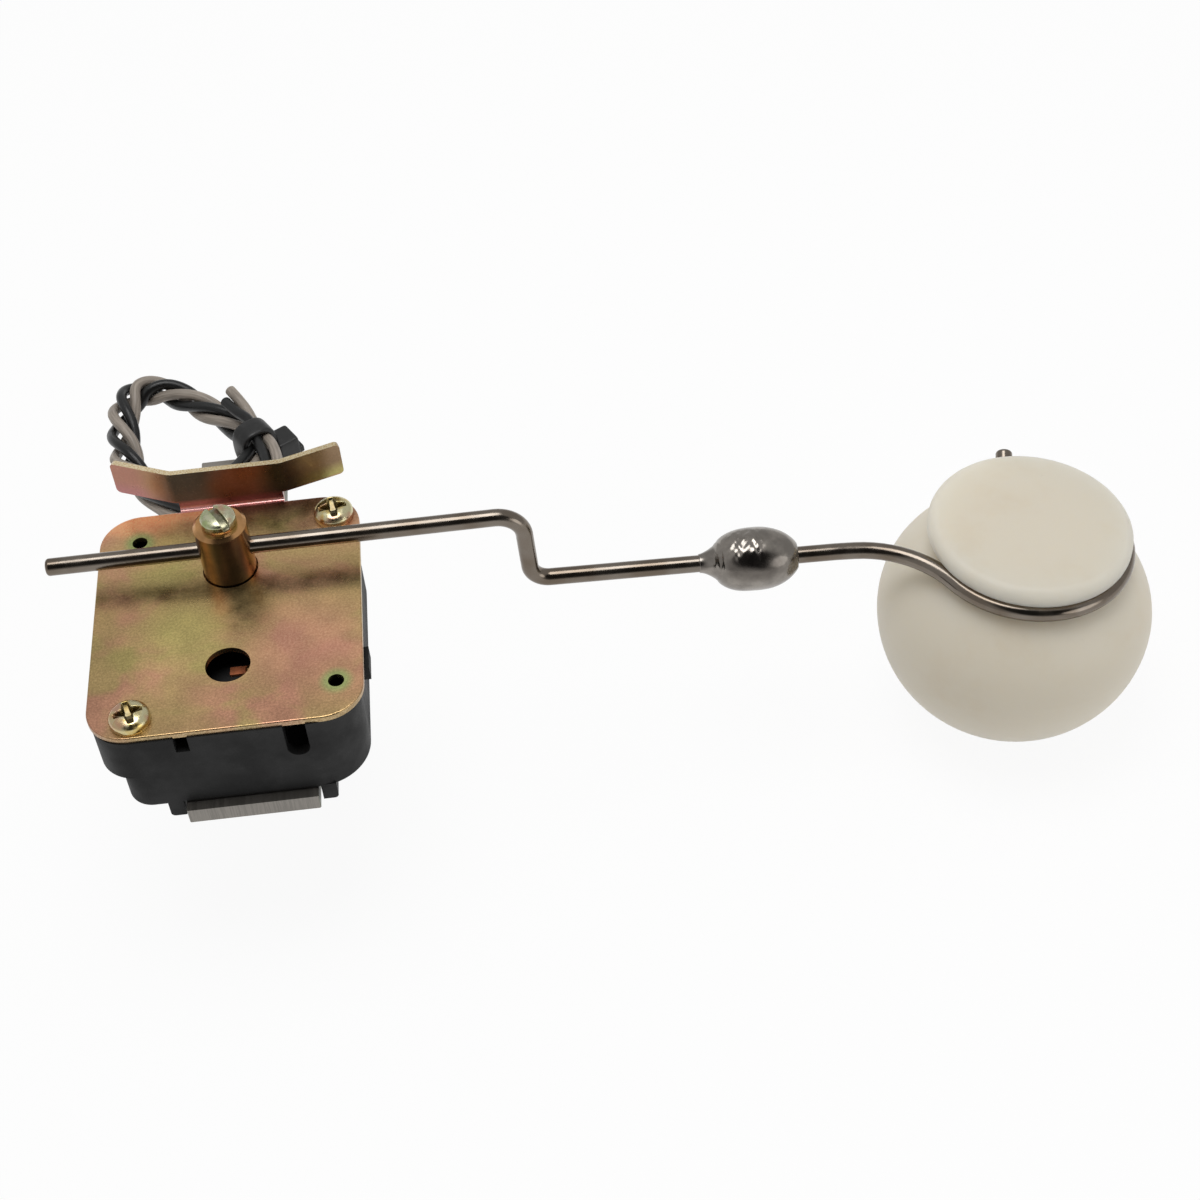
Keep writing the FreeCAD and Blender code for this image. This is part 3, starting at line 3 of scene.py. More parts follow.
import bpy
import numpy as np
from mathutils import Matrix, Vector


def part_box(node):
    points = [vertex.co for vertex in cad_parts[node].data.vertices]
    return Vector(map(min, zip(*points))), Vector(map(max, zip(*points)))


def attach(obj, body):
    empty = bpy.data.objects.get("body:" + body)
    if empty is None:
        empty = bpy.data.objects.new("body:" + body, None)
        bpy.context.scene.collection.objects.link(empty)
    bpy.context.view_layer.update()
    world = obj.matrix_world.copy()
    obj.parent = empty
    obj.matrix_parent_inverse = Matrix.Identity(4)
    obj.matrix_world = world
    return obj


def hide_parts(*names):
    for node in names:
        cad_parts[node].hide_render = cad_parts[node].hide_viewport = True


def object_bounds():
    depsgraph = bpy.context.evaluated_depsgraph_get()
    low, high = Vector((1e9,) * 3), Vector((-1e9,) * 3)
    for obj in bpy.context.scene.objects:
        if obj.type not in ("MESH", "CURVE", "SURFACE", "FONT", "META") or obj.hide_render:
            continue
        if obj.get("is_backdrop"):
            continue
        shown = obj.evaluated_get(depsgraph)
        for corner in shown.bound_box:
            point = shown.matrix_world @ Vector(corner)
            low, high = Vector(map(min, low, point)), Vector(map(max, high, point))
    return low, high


bl_info = {
    "name": "Tank level sender",
    "version": (1, 0, 0),
    "blender": (4, 5, 0),
    "location": "View3D > Sidebar > Sender",
    "description": "Dresses the packed level sender with its finishes, leads, tie, screws, ballast and stage",
    "category": "Object",
}

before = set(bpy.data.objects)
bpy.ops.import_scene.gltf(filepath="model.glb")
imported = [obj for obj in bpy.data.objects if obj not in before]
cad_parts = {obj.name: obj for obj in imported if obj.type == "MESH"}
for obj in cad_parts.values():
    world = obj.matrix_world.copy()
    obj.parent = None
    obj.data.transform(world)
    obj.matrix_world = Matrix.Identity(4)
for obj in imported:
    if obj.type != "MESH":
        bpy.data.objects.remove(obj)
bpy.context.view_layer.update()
MM = 0.001
TAU = 2.0 * math.pi
BASE = "base"
ARM = "arm"
PLATE_THICKNESS = 1.1 * MM


def plate_top():
    """Height of the cover plate's upper face."""
    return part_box("cover_plate")[0][2] + PLATE_THICKNESS


def paint(red, green, blue):
    """Linear colour of a screen colour given as three numbers from 0 to 255."""
    screen = np.array([red, green, blue]) / 255.0
    linear = np.where(screen <= 0.04045, screen / 12.92, ((screen + 0.055) / 1.055) ** 2.4)
    return tuple(float(channel) for channel in linear)


def scaled(color, share, lift=0.0):
    """A colour with its channels multiplied by one share, or each by its own, and raised by a lift."""
    return tuple(float(channel) for channel in np.minimum(np.multiply(color, share) + lift, 1.0))


def color_setting(name, description, red, green, blue):
    """A colour that a user can change, with its default given as a screen colour."""
    return bpy.props.FloatVectorProperty(name=name, description=description, subtype="COLOR", size=3,
                                         min=0.0, max=1.0, default=paint(red, green, blue))


def length_setting(name, description, millimetres):
    """A length that a user can change, with its default given in millimetres."""
    return bpy.props.FloatProperty(name=name, description=description, unit="LENGTH", precision=5,
                                   default=millimetres * MM)


def angle_setting(name, description, degrees):
    """An angle that a user can change, with its default given in degrees."""
    return bpy.props.FloatProperty(name=name, description=description, subtype="ANGLE",
                                   default=math.radians(degrees))


class StageSettings(bpy.types.PropertyGroup):
    """Camera, floor and light."""
    lens: bpy.props.FloatProperty(name="Lens", description="Focal length on a 36 mm sensor",
                                  subtype="DISTANCE_CAMERA", default=66.78)
    eye_side: length_setting("Eye side", "Camera place along the arm from the hub's axis", 58.35)
    eye_front: length_setting("Eye front", "Camera distance in front of the hub's axis", 285.44)
    eye_height: length_setting("Eye height", "Camera height over the strap's back face", 304.37)
    heading: angle_setting("Heading", "Camera heading, from straight back towards the float", 1.468)
    tilt: angle_setting("Tilt", "Camera tilt below the level", 46.615)
    roll: angle_setting("Roll", "Camera roll about its line of sight", 5.325)
    floor_gap: length_setting("Floor gap", "Room between the lowest point and the floor", 0.4)
    floor_color: color_setting("Floor", "Colour of the pale floor", 243, 243, 243)
    key_power: bpy.props.FloatProperty(name="Key", description="Power of the large overhead lamp",
                                       unit="POWER", default=2.7)
    fill_power: bpy.props.FloatProperty(name="Fill", description="Power of the low right lamp",
                                        unit="POWER", default=0.8)
    surround: bpy.props.FloatProperty(name="Surround", description="Strength of the studio round the object",
                                      default=0.6)


class PlateSettings(bpy.types.PropertyGroup):
    """Colours of the clouded yellow plating."""
    tan: color_setting("Tan", "Main colour of the plating", 196, 167, 116)
    rose: color_setting("Rose", "Pink clouds", 204, 146, 124)
    olive: color_setting("Olive", "Green clouds", 182, 174, 106)
    orange: color_setting("Orange", "Bloom at the back left edge", 255, 178, 126)
    # Darker tint in a band in front of the arm and in one spot beside it.
    dark_tint: color_setting("Soot", "Dark stain beside the arm's path", 104, 98, 66)
    dusk: color_setting("Dusk", "Dulling of the front and left of the plate", 218, 214, 220)
    edge: color_setting("Edge", "Sheared edges", 138, 121, 92)
    spark: color_setting("Spark", "Bright flecks", 232, 220, 188)
    brown: color_setting("Brown", "Bank along the back right edge", 120, 80, 68)
    green: color_setting("Green", "Tint round punched holes", 150, 176, 112)
    # Wing to Drab: colours of the stop bracket, partly the plating's own tints and partly painted
    # reflections.
    wing: color_setting("Wing", "Left wing of the stop bracket", 182, 127, 106)
    pink: color_setting("Pink", "Lower edge and root of the stop bracket", 188, 124, 124)
    # Root is a painted highlight along the bracket's bend.
    root: color_setting("Root", "Bend where the stop bracket leaves the plate", 236, 176, 172)
    umber_reflection: color_setting("Umber", "Dark turns of the stop bracket", 106, 98, 90)
    maroon: color_setting("Maroon", "Middle of the stop bracket", 172, 126, 112)
    drab: color_setting("Drab", "Right tip of the stop bracket", 146, 122, 96)


class MetalSettings(bpy.types.PropertyGroup):
    """Colours of the bare metals."""
    brass: color_setting("Brass", "Turned hub", 206, 156, 104)
    rod: color_setting("Rod", "Drawn rod", 124, 116, 107)
    ballast: color_setting("Ballast", "Cast lead", 148, 142, 135)
    screw: color_setting("Screw", "Bright plated screws", 205, 198, 160)
    strap: color_setting("Strap", "Bare bar", 158, 153, 146)
    copper: color_setting("Copper", "Contact strip", 214, 128, 86)


class MouldingSettings(bpy.types.PropertyGroup):
    """Colours of the mouldings and the leads, and the leads' sizes."""
    charcoal: color_setting("Charcoal", "Housing", 17, 17, 17)
    cream: color_setting("Cream", "Float", 219, 211, 194)
    lead_black: color_setting("Black lead", "Black insulation", 19, 20, 20)
    lead_grey: color_setting("Grey lead", "Grey insulation", 150, 140, 129)
    tie: color_setting("Tie", "Cable tie", 14, 14, 14)
    wire: length_setting("Wire", "Diameter of one insulated wire", 2.15)
    twist_gap: length_setting("Twist gap", "Distance of a wire from the middle of the pair", 1.12)
    slack: bpy.props.FloatProperty(name="Slack", default=0.42,
                                   description="How far the rope opens on the far side of the tie")


class Finish:
    """One node material being put together on Object coordinates."""

    def __init__(self, name, color, roughness, metallic=0.0):
        self.material = bpy.data.materials.new(name)
        self.material.use_nodes = True
        self.nodes = self.material.node_tree.nodes
        self.links = self.material.node_tree.links
        self.shader = self.nodes["Principled BSDF"]
        self.shader.inputs["Base Color"].default_value = (*color, 1.0)
        self.shader.inputs["Roughness"].default_value = roughness
        self.shader.inputs["Metallic"].default_value = metallic
        self.material.diffuse_color = (*color, 1.0)
        self.coordinates = self.nodes.new("ShaderNodeTexCoord")

    def put(self, socket, value):
        """Link a socket to another node's output, or set it to a plain value."""
        if isinstance(value, bpy.types.NodeSocket):
            self.links.new(value, socket)
        elif hasattr(value, "__len__") and len(value) == 3 and len(socket.default_value) == 4:
            socket.default_value = (*value, 1.0)
        else:
            socket.default_value = value

    def shade(self, name, value):
        """Drive or set one socket of the surface shader."""
        self.put(self.shader.inputs[name], value)

    def math(self, operation, first, second=0.5, clamp=False):
        """One arithmetic step."""
        node = self.nodes.new("ShaderNodeMath")
        node.operation = operation
        node.use_clamp = clamp
        self.put(node.inputs[0], first)
        self.put(node.inputs[1], second)
        return node.outputs[0]

    def times(self, first, second, clamp=False):
        """The product of two values."""
        return self.math("MULTIPLY", first, second, clamp)

    def parts(self, source):
        """The three numbers of one kind of coordinates, apart."""
        node = self.nodes.new("ShaderNodeSeparateXYZ")
        self.links.new(self.coordinates.outputs[source], node.inputs[0])
        return node.outputs[0], node.outputs[1], node.outputs[2]

    def axes(self):
        """Place on the object along X, Y and Z."""
        return self.parts("Object")

    def facing(self):
        """How far the surface faces along X, Y and Z."""
        return self.parts("Normal")

    def mapped(self, stretch, source):
        """Coordinates stretched along each axis."""
        node = self.nodes.new("ShaderNodeMapping")
        self.links.new(self.coordinates.outputs[source], node.inputs["Vector"])
        node.inputs["Scale"].default_value = stretch
        return node.outputs[0]

    def noise(self, size, detail=3.0, rough=0.55, stretch=(1.0, 1.0, 1.0), source="Object", warp=0.0):
        """Cloud pattern whose features are about the given size, in metres."""
        node = self.nodes.new("ShaderNodeTexNoise")
        self.links.new(self.mapped(stretch, source), node.inputs["Vector"])
        node.inputs["Scale"].default_value = 1.0 / size
        node.inputs["Detail"].default_value = detail
        node.inputs["Roughness"].default_value = rough
        node.inputs["Distortion"].default_value = warp
        return node.outputs["Fac"]

    def span(self, value, low, high, start=0.0, end=1.0):
        """Carry a value from one span to another, smoothly and held at the ends."""
        node = self.nodes.new("ShaderNodeMapRange")
        node.interpolation_type = "SMOOTHSTEP"
        for index, part in enumerate((value, low, high, start, end)):
            self.put(node.inputs[index], part)
        return node.outputs[0]

    def mix(self, factor, first, second, mode="MIX"):
        """Blend two colours."""
        node = self.nodes.new("ShaderNodeMix")
        node.data_type = "RGBA"
        node.blend_type = mode
        self.put(node.inputs[0], factor)
        self.put(node.inputs[6], first)
        self.put(node.inputs[7], second)
        return node.outputs[2]

    def near(self, place, inner, outer):
        """One at a place in plan and nought beyond a distance from it, in metres."""
        x, y, _ = self.axes()
        across = self.math("POWER", self.math("SUBTRACT", x, place[0]), 2.0)
        along = self.math("POWER", self.math("SUBTRACT", y, place[1]), 2.0)
        far = self.math("SQRT", self.math("ADD", across, along))
        return self.span(far, inner, outer, 1.0, 0.0)

    def bump(self, height, depth, strength=1.0):
        """Fine relief, with its depth in metres."""
        node = self.nodes.new("ShaderNodeBump")
        node.inputs["Strength"].default_value = strength
        node.inputs["Distance"].default_value = depth
        self.links.new(height, node.inputs["Height"])
        self.links.new(node.outputs[0], self.shader.inputs["Normal"])


def dress(material, *nodes):
    """Give CAD nodes a finish in place of their plain one."""
    for name in nodes:
        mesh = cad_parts[name].data
        mesh.materials.clear()
        mesh.materials.append(material)


def grid_faces(rows, columns):
    """Quads of a grid of points, row by row, whose rows close into rings."""
    row, column = np.meshgrid(np.arange(rows - 1), np.arange(columns), indexing="ij")
    here = row * columns + column
    beside = row * columns + (column + 1) % columns
    return np.stack([here, beside, beside + columns, here + columns], axis=-1).reshape(-1, 4)


def make_piece(name, points, faces, material, body):
    """Put arrays of points and faces into a new object that rides on a body."""
    mesh = bpy.data.meshes.new(name)
    mesh.from_pydata(points.tolist(), [], [list(face) for face in faces])
    mesh.validate()
    mesh.polygons.foreach_set("use_smooth", np.ones(len(mesh.polygons), dtype=bool))
    mesh.materials.append(material)
    mesh.update()
    piece = bpy.data.objects.new(name, mesh)
    bpy.context.scene.collection.objects.link(piece)
    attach(piece, body)
    return piece


def ring_mesh(rings):
    """Closed surface from rings of points: quads between rings and a fan at each end's middle."""
    count, sides, _ = rings.shape
    ends = np.stack([rings[0].mean(axis=0), rings[-1].mean(axis=0)])
    points = np.concatenate([rings.reshape(-1, 3), ends])
    faces = grid_faces(count, sides).tolist()
    turn = np.arange(sides)
    first, last = count * sides, count * sides + 1
    base = (count - 1) * sides
    start_fan = np.stack([np.full(sides, first), (turn + 1) % sides, turn], axis=-1)
    end_fan = np.stack([np.full(sides, last), base + turn, base + (turn + 1) % sides], axis=-1)
    return points, faces + start_fan.tolist() + end_fan.tolist()


def headings(line):
    """Unit tangents of a line of points, from the differences of its neighbours."""
    tangent = np.gradient(line, axis=0)
    return tangent / np.linalg.norm(tangent, axis=1, keepdims=True)


def level_frames(line):
    """Sideways and upward directions along a line that is never upright."""
    along = headings(line)
    side = np.cross(along, [0.0, 0.0, 1.0])
    side /= np.linalg.norm(side, axis=1, keepdims=True)
    return along, side, np.cross(side, along)


# Rounded ends of a wire: rings, arc that they follow and its radius as a share of the wire's.
CAP_ROWS = 4
CAP_ARC = 0.45 * math.pi
CAP_SHARE = 0.35


def tube_rings(line, radius, sides):
    """Rings of a round tube: each point of the line plus radius times (cos t side + sin t up).
    The last rings shrink on an arc, so both ends are rounded off."""
    along, side, up = level_frames(line)
    turn = np.arange(sides) * TAU / sides
    circle = np.cos(turn)[None, :, None] * side[:, None, :] + np.sin(turn)[None, :, None] * up[:, None, :]
    body = line[:, None, :] + radius * circle
    bend = np.linspace(0.0, CAP_ARC, CAP_ROWS + 1)[1:, None, None]
    swell = CAP_SHARE * radius
    shrunk = radius - swell * (1 - np.cos(bend))
    tail = line[-1] + swell * np.sin(bend) * along[-1] + shrunk * circle[-1]
    nose = line[0] - swell * np.sin(bend) * along[0] + shrunk * circle[0]
    return np.concatenate([nose[::-1], body, tail])


def ring_uv(mesh, name, around, along):
    """Store a UV map from two arrays that hold one value for each vertex."""
    layer = mesh.uv_layers.new(name=name)
    corner = np.empty(len(mesh.loops), dtype=np.int32)
    mesh.loops.foreach_get("vertex_index", corner)
    layer.data.foreach_set("uv", np.stack([around[corner], along[corner]], axis=-1).ravel())


# Leads: control points of the pair's route, in millimetres. The pair walks the loop once, goes on along it to
# the tie, so that both turns make one rope, and then leaves it for the return.
LEAD_RUN = [(-9.5, 15.5, 11.5), (-9.5, 20.0, 11.5), (-10.2, 25.0, 11.5), (-15.4, 28.8, 11.3),
            (-20.8, 34.8, 10.4)]
LEAD_LOOP = [(-23.6, 43.6, 7.6), (-24.6, 49.5, 7.6), (-25.4, 55.5, 8.2), (-25.4, 62.0, 8.6),
             (-23.0, 66.7, 8.6), (-17.8, 66.8, 8.4), (-13.0, 63.6, 8.0), (-8.0, 59.5, 7.6),
             (-2.2, 53.9, 7.4), (1.75, 46.5, 7.4), (4.4, 41.4, 7.4), (5.2, 35.4, 7.6), (1.6, 30.4, 8.0),
             (-4.2, 28.8, 8.2), (-10.0, 30.4, 8.2), (-15.0, 33.8, 8.0), (-19.8, 38.2, 7.6)]
LEAD_RETURN = [(0.8, 42.0, 8.8), (-1.0, 37.2, 10.6), (-2.8, 32.2, 12.4), (-3.5, 27.0, 11.8),
               (-3.4, 23.0, 10.0), (-0.6, 20.2, 8.8), (3.4, 20.2, 8.4), (6.2, 23.0, 8.8), (6.4, 27.6, 10.2),
               (6.2, 32.6, 11.6), (5.6, 37.4, 12.0), (4.6, 42.0, 11.6), (2.8, 46.4, 11.3),
               (1.4, 50.3, 11.4), (-1.6, 54.8, 12.2), (-5.2, 60.3, 13.0)]
# Places on the route are counted in control points, angles are in degrees.
TIE_POINT = 9           # point of the loop that lies in the tie
TIE_RETURN = 12         # point of the return that lies in the tie
TIE_TURN = 31.0         # angle of the tie about Z
JOIN = (-2.0, 0.3)      # where the pair joins the rope
LEAVE = (0.3, 2.2)      # where it leaves the rope, after the hold's start
ROPE_TWISTS = 3.5       # turns of the rope on one walk round the loop
JOIN_ANGLE = 246.8      # angle of the pair where it joins
RUN_TWIST = 45.0        # twist of the first run, for each point
HOLD_START = 9.3        # the twist rests from here
HOLD_LENGTH = 2.0       # and for so long
SOFTEN = 0.7            # half length of each change of twist
END_TURN = -218.0       # turn of the pair on the return, up to the tie
END_TWIST = 15.0        # twist of the cut ends, for each point
END_CROSS = -75.0       # extra turn that crosses the ends beyond the tie
CROSS_AFTER = 0.9       # its place after the tie
CROSS_WIDTH = 1.1       # and its width
PAIR_ROOM = 1.02        # factor on the wires' distance, for a little room between them
WIRE_STEP = 0.45 * MM
WIRE_SIDES = 18


def smooth_route(name, points):
    """Points read from a NURBS spline of order 3 that has the route's points as its control points."""
    curve = bpy.data.curves.new(name, "CURVE")
    curve.dimensions = "3D"
    curve.resolution_u = 14
    spline = curve.splines.new("NURBS")
    spline.points.add(len(points) - 1)
    weighted = np.concatenate([np.asarray(points) * MM, np.ones((len(points), 1))], axis=1)
    spline.points.foreach_set("co", weighted.ravel())
    spline.order_u = 3
    spline.use_endpoint_u = True
    carrier = bpy.data.objects.new(name, curve)
    bpy.context.scene.collection.objects.link(carrier)
    bpy.context.view_layer.update()
    mesh = bpy.data.meshes.new_from_object(carrier.evaluated_get(bpy.context.evaluated_depsgraph_get()))
    line = np.empty(len(mesh.vertices) * 3)
    mesh.vertices.foreach_get("co", line)
    bpy.data.objects.remove(carrier)
    bpy.data.curves.remove(curve)
    bpy.data.meshes.remove(mesh)
    return line.reshape(-1, 3)


def even_line(line, step):
    """The same line with points at even steps along it."""
    run = np.concatenate([[0.0], np.cumsum(np.linalg.norm(np.diff(line, axis=0), axis=1))])
    keep = np.concatenate([[True], np.diff(run) > 1e-9])
    even = np.linspace(0.0, run[-1], int(run[-1] / step) + 1)
    return np.stack([np.interp(even, run[keep], line[keep, axis]) for axis in range(3)], axis=-1), even


def smooth_step(value, low, high):
    """Nought below one value, one above the other and smooth in between."""
    share = np.clip((value - low) / (high - low), 0.0, 1.0)
    return share * share * (3 - 2 * share)


def soft_ramp(value, low, high):
    """Integral of the smooth step: nought below, rising one for one above, with a soft bend in between."""
    share = np.clip((value - low) / (high - low), 0.0, 1.0)
    return (high - low) * (share ** 3 - 0.5 * share ** 4) + np.maximum(value - high, 0.0)


def rope_angle(place):
    """Angle of the pair about the rope, in degrees, from its place counted in control points after the joint.
    It rises evenly, but slowly on the first run, and holds still just past the tie, where the pair leaves."""
    count = len(LEAD_LOOP)
    rate = 360.0 * ROPE_TWISTS / (count - HOLD_LENGTH)
    turns = np.maximum(np.floor(place / count), 0.0)
    since = place - turns * count - HOLD_START
    held = soft_ramp(since, -SOFTEN, SOFTEN) - soft_ramp(since - HOLD_LENGTH, -SOFTEN, SOFTEN)
    looped = soft_ramp(place, -SOFTEN, SOFTEN)
    return JOIN_ANGLE + RUN_TWIST * (place - looped) + rate * (looped - turns * HOLD_LENGTH - held)


def wire_line(guide, place, hand, settings):
    """Middle line of one wire: the guide plus a turning offset. On the loop the wires of both turns stand
    on the corners of a turning square; off the loop the two wires of the pair stand opposite each other."""
    leave = len(LEAD_LOOP) + HOLD_START
    roped = smooth_step(place, *JOIN) * (1.0 - smooth_step(place, leave + LEAVE[0], leave + LEAVE[1]))
    angle = rope_angle(place)
    end_start = leave + HOLD_LENGTH - SOFTEN
    end_tie = len(LEAD_LOOP) + TIE_POINT + 1.0 + TIE_RETURN
    first = rope_angle(np.array([end_start]))[0]
    ending = first + END_TURN * smooth_step(place, end_start, end_tie) \
        + END_TWIST * np.maximum(place - end_tie, 0.0) \
        + END_CROSS * np.exp(-((place - end_tie - CROSS_AFTER) / CROSS_WIDTH) ** 2)
    angle = np.where(place > end_start, ending, angle)
    spread = 180.0 - 90.0 * roped
    around = (place - TIE_POINT) * TAU / len(LEAD_LOOP)
    slack = PAIR_ROOM + settings.slack * roped * (0.5 - 0.5 * np.cos(around))
    reach = settings.twist_gap / np.sin(np.radians(spread / 2)) * slack
    turn = np.radians(angle + hand * spread / 2)
    _, side, up = level_frames(guide)
    return guide + reach[:, None] * (np.cos(turn)[:, None] * side + np.sin(turn)[:, None] * up)


def make_lead(name, line, settings, material):
    """One wire of the pair, swept along its middle line with a round section."""
    wire, length = even_line(line, WIRE_STEP)
    rings = tube_rings(wire, settings.wire / 2, WIRE_SIDES)
    points, faces = ring_mesh(rings)
    piece = make_piece(name, points, faces, material, BASE)
    around = np.tile(np.abs(np.arange(WIRE_SIDES) * 2.0 / WIRE_SIDES - 1.0), len(rings))
    along = np.repeat(np.linspace(0.0, length[-1] / MM, len(rings)), WIRE_SIDES)
    ring_uv(piece.data, "wire", np.append(around, [0.0, 0.0]), np.append(along, [0.0, along[-1]]))
    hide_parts("lead_run", "lead_coil", "lead_ends")


def jacket_finish(name, color, roughness):
    """Extruded insulation: faint streaks along the wire and a little surface ripple."""
    finish = Finish(name, color, roughness)
    streak = finish.noise(0.12, 3.0, 0.6, (1.0, 0.02, 1.0), "UV")
    smudge = finish.noise(4 * MM, 3.0)
    darker = scaled(color, 0.72)
    lighter = scaled(color, 1.22, 0.004)
    finish.shade("Base Color", finish.mix(finish.span(streak, 0.3, 0.7), darker, lighter))
    finish.shade("Roughness", finish.span(smudge, 0.3, 0.7, roughness - 0.08, roughness + 0.12))
    finish.shade("Specular IOR Level", 0.4)
    finish.bump(streak, 0.06 * MM, 0.6)
    return finish.material


class SENDER_OT_leads(bpy.types.Operator):
    """Twist two insulated wires along the route from the grommet through the coil to their cut ends"""
    bl_idname = "sender.leads"
    bl_label = "Leads"

    def execute(self, context):
        settings = context.scene.sender_mouldings
        route = np.array(LEAD_RUN + LEAD_LOOP + LEAD_LOOP[:TIE_POINT + 1] + LEAD_RETURN)
        guide = smooth_route("lead_route", route)
        place = np.linspace(0.5, len(route) - 1.5, len(guide)) - len(LEAD_RUN)
        black = jacket_finish("black_insulation", settings.lead_black, 0.34)
        grey = jacket_finish("grey_insulation", settings.lead_grey, 0.46)
        for name, jacket, hand, trim in (("lead_black", black, -1.0, 0.3), ("lead_grey", grey, 1.0, 0.2)):
            line = wire_line(guide, place, hand, settings)[place < place[-1] - trim]
            make_lead(name, line, settings, jacket)
        return {"FINISHED"}


BOX_ROWS = 28
BOX_SIDES = 48


def soft(value, power):
    """Power of a value's size, with the value's sign."""
    return np.sign(value) * np.abs(value) ** power


def rounded_box(low, high, power):
    """Block with soft edges: x, y and z are signed powers of the cosines and sines of two angles."""
    up = np.linspace(-0.5 * math.pi, 0.5 * math.pi, BOX_ROWS)[1:-1]
    turn = np.arange(BOX_SIDES) * TAU / BOX_SIDES
    x = soft(np.cos(up), power)[:, None] * soft(np.cos(turn), power)[None, :]
    y = soft(np.cos(up), power)[:, None] * soft(np.sin(turn), power)[None, :]
    z = soft(np.sin(up), power)[:, None] * np.ones(BOX_SIDES)[None, :]
    low, high = np.array(low), np.array(high)
    return (low + high) / 2 + np.stack([x, y, z], axis=-1) * (high - low) / 2


def turned(points, degrees):
    """Points turned about Z."""
    angle = math.radians(degrees)
    return np.stack([points[:, 0] * math.cos(angle) - points[:, 1] * math.sin(angle),
                     points[:, 0] * math.sin(angle) + points[:, 1] * math.cos(angle), points[:, 2]], axis=-1)


# Tie: sizes in millimetres, in its own axes, with the rope along Y and the head on the side of +X.
TIE_HALF = 2.8                  # half width of the rope inside the band
TIE_LOW, TIE_HIGH = 4.68, 12.55
TIE_THICK, TIE_WIDE = 1.2, 4.7
TIE_OUTER = TIE_HALF + 0.9      # X from which the head and the tail are measured
BAND_TURNS = 72
STRIP_SIDES = 20
BLOCKS = {"tie_head": ((-0.5, -3.7, 3.7), (4.0, 1.7, 8.7), 0.2),
          "tie_tail": ((3.2, -3.3, 4.2), (5.0, 0.8, 5.6), 0.3)}


def tie_band():
    """Band of the tie: an oval loop in the XZ plane that carries a rounded strip along Y.
    Loop point: half sizes times signed powers of cosine and sine; strip point: a soft rectangle."""
    turn = np.arange(BAND_TURNS) * TAU / BAND_TURNS
    strip = np.arange(STRIP_SIDES) * TAU / STRIP_SIDES
    out = 0.5 * TIE_THICK * (1.0 + soft(np.cos(strip), 0.55))
    across = 0.5 * TIE_WIDE * soft(np.sin(strip), 0.3)
    x = (TIE_HALF + out)[None, :] * soft(np.cos(turn), 0.72)[:, None]
    tall = (TIE_HIGH - TIE_LOW) / 2
    z = (TIE_LOW + TIE_HIGH) / 2 + (tall + out)[None, :] * soft(np.sin(turn), 0.72)[:, None]
    y = np.repeat(across[None, :], BAND_TURNS, axis=0)
    faces = grid_faces(BAND_TURNS + 1, STRIP_SIDES) % (BAND_TURNS * STRIP_SIDES)
    return np.stack([x, y, z], axis=-1).reshape(-1, 3) * MM, faces


class SENDER_OT_cable_tie(bpy.types.Operator):
    """Close a moulded tie round the coil, with its head on the outer side and a trimmed tail"""
    bl_idname = "sender.cable_tie"
    bl_label = "Cable tie"

    def execute(self, context):
        settings = context.scene.sender_mouldings
        finish = Finish("tie_nylon_black", settings.tie, 0.42)
        grain = finish.noise(1.6 * MM, 4.0)
        worn = scaled(settings.tie, 1.9, 0.006)
        finish.shade("Base Color", finish.mix(finish.span(grain, 0.45, 0.75), settings.tie, worn))
        finish.bump(finish.noise(0.35 * MM, 2.0), 0.03 * MM, 0.5)
        middle = np.array([LEAD_LOOP[TIE_POINT][0] * MM, LEAD_LOOP[TIE_POINT][1] * MM, 0.0])
        points, faces = tie_band()
        band = make_piece("tie_band", turned(points, TIE_TURN) + middle, faces, finish.material,
                          BASE)
        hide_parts("cable_tie")
        outward = np.array([TIE_OUTER * MM, 0.0, 0.0])
        for name, (low, high, power) in BLOCKS.items():
            rings = rounded_box(np.array(low) * MM, np.array(high) * MM, power) + outward
            points, faces = ring_mesh(rings)
            make_piece(name, turned(points, TIE_TURN) + middle, faces, finish.material, BASE)
        return {"FINISHED"}


# Plating: places and sizes on the cover plate, in millimetres.
PUNCHED_HOLES = ((-16.8, 9.0), (18.7, -29.9))
BRACKET_ROOT = 16.2             # place of the bracket's bend along Y
BRACKET_RIM = (8.55, 8.8)       # heights over the plate at which the painted highlight on its upper edge starts and is full
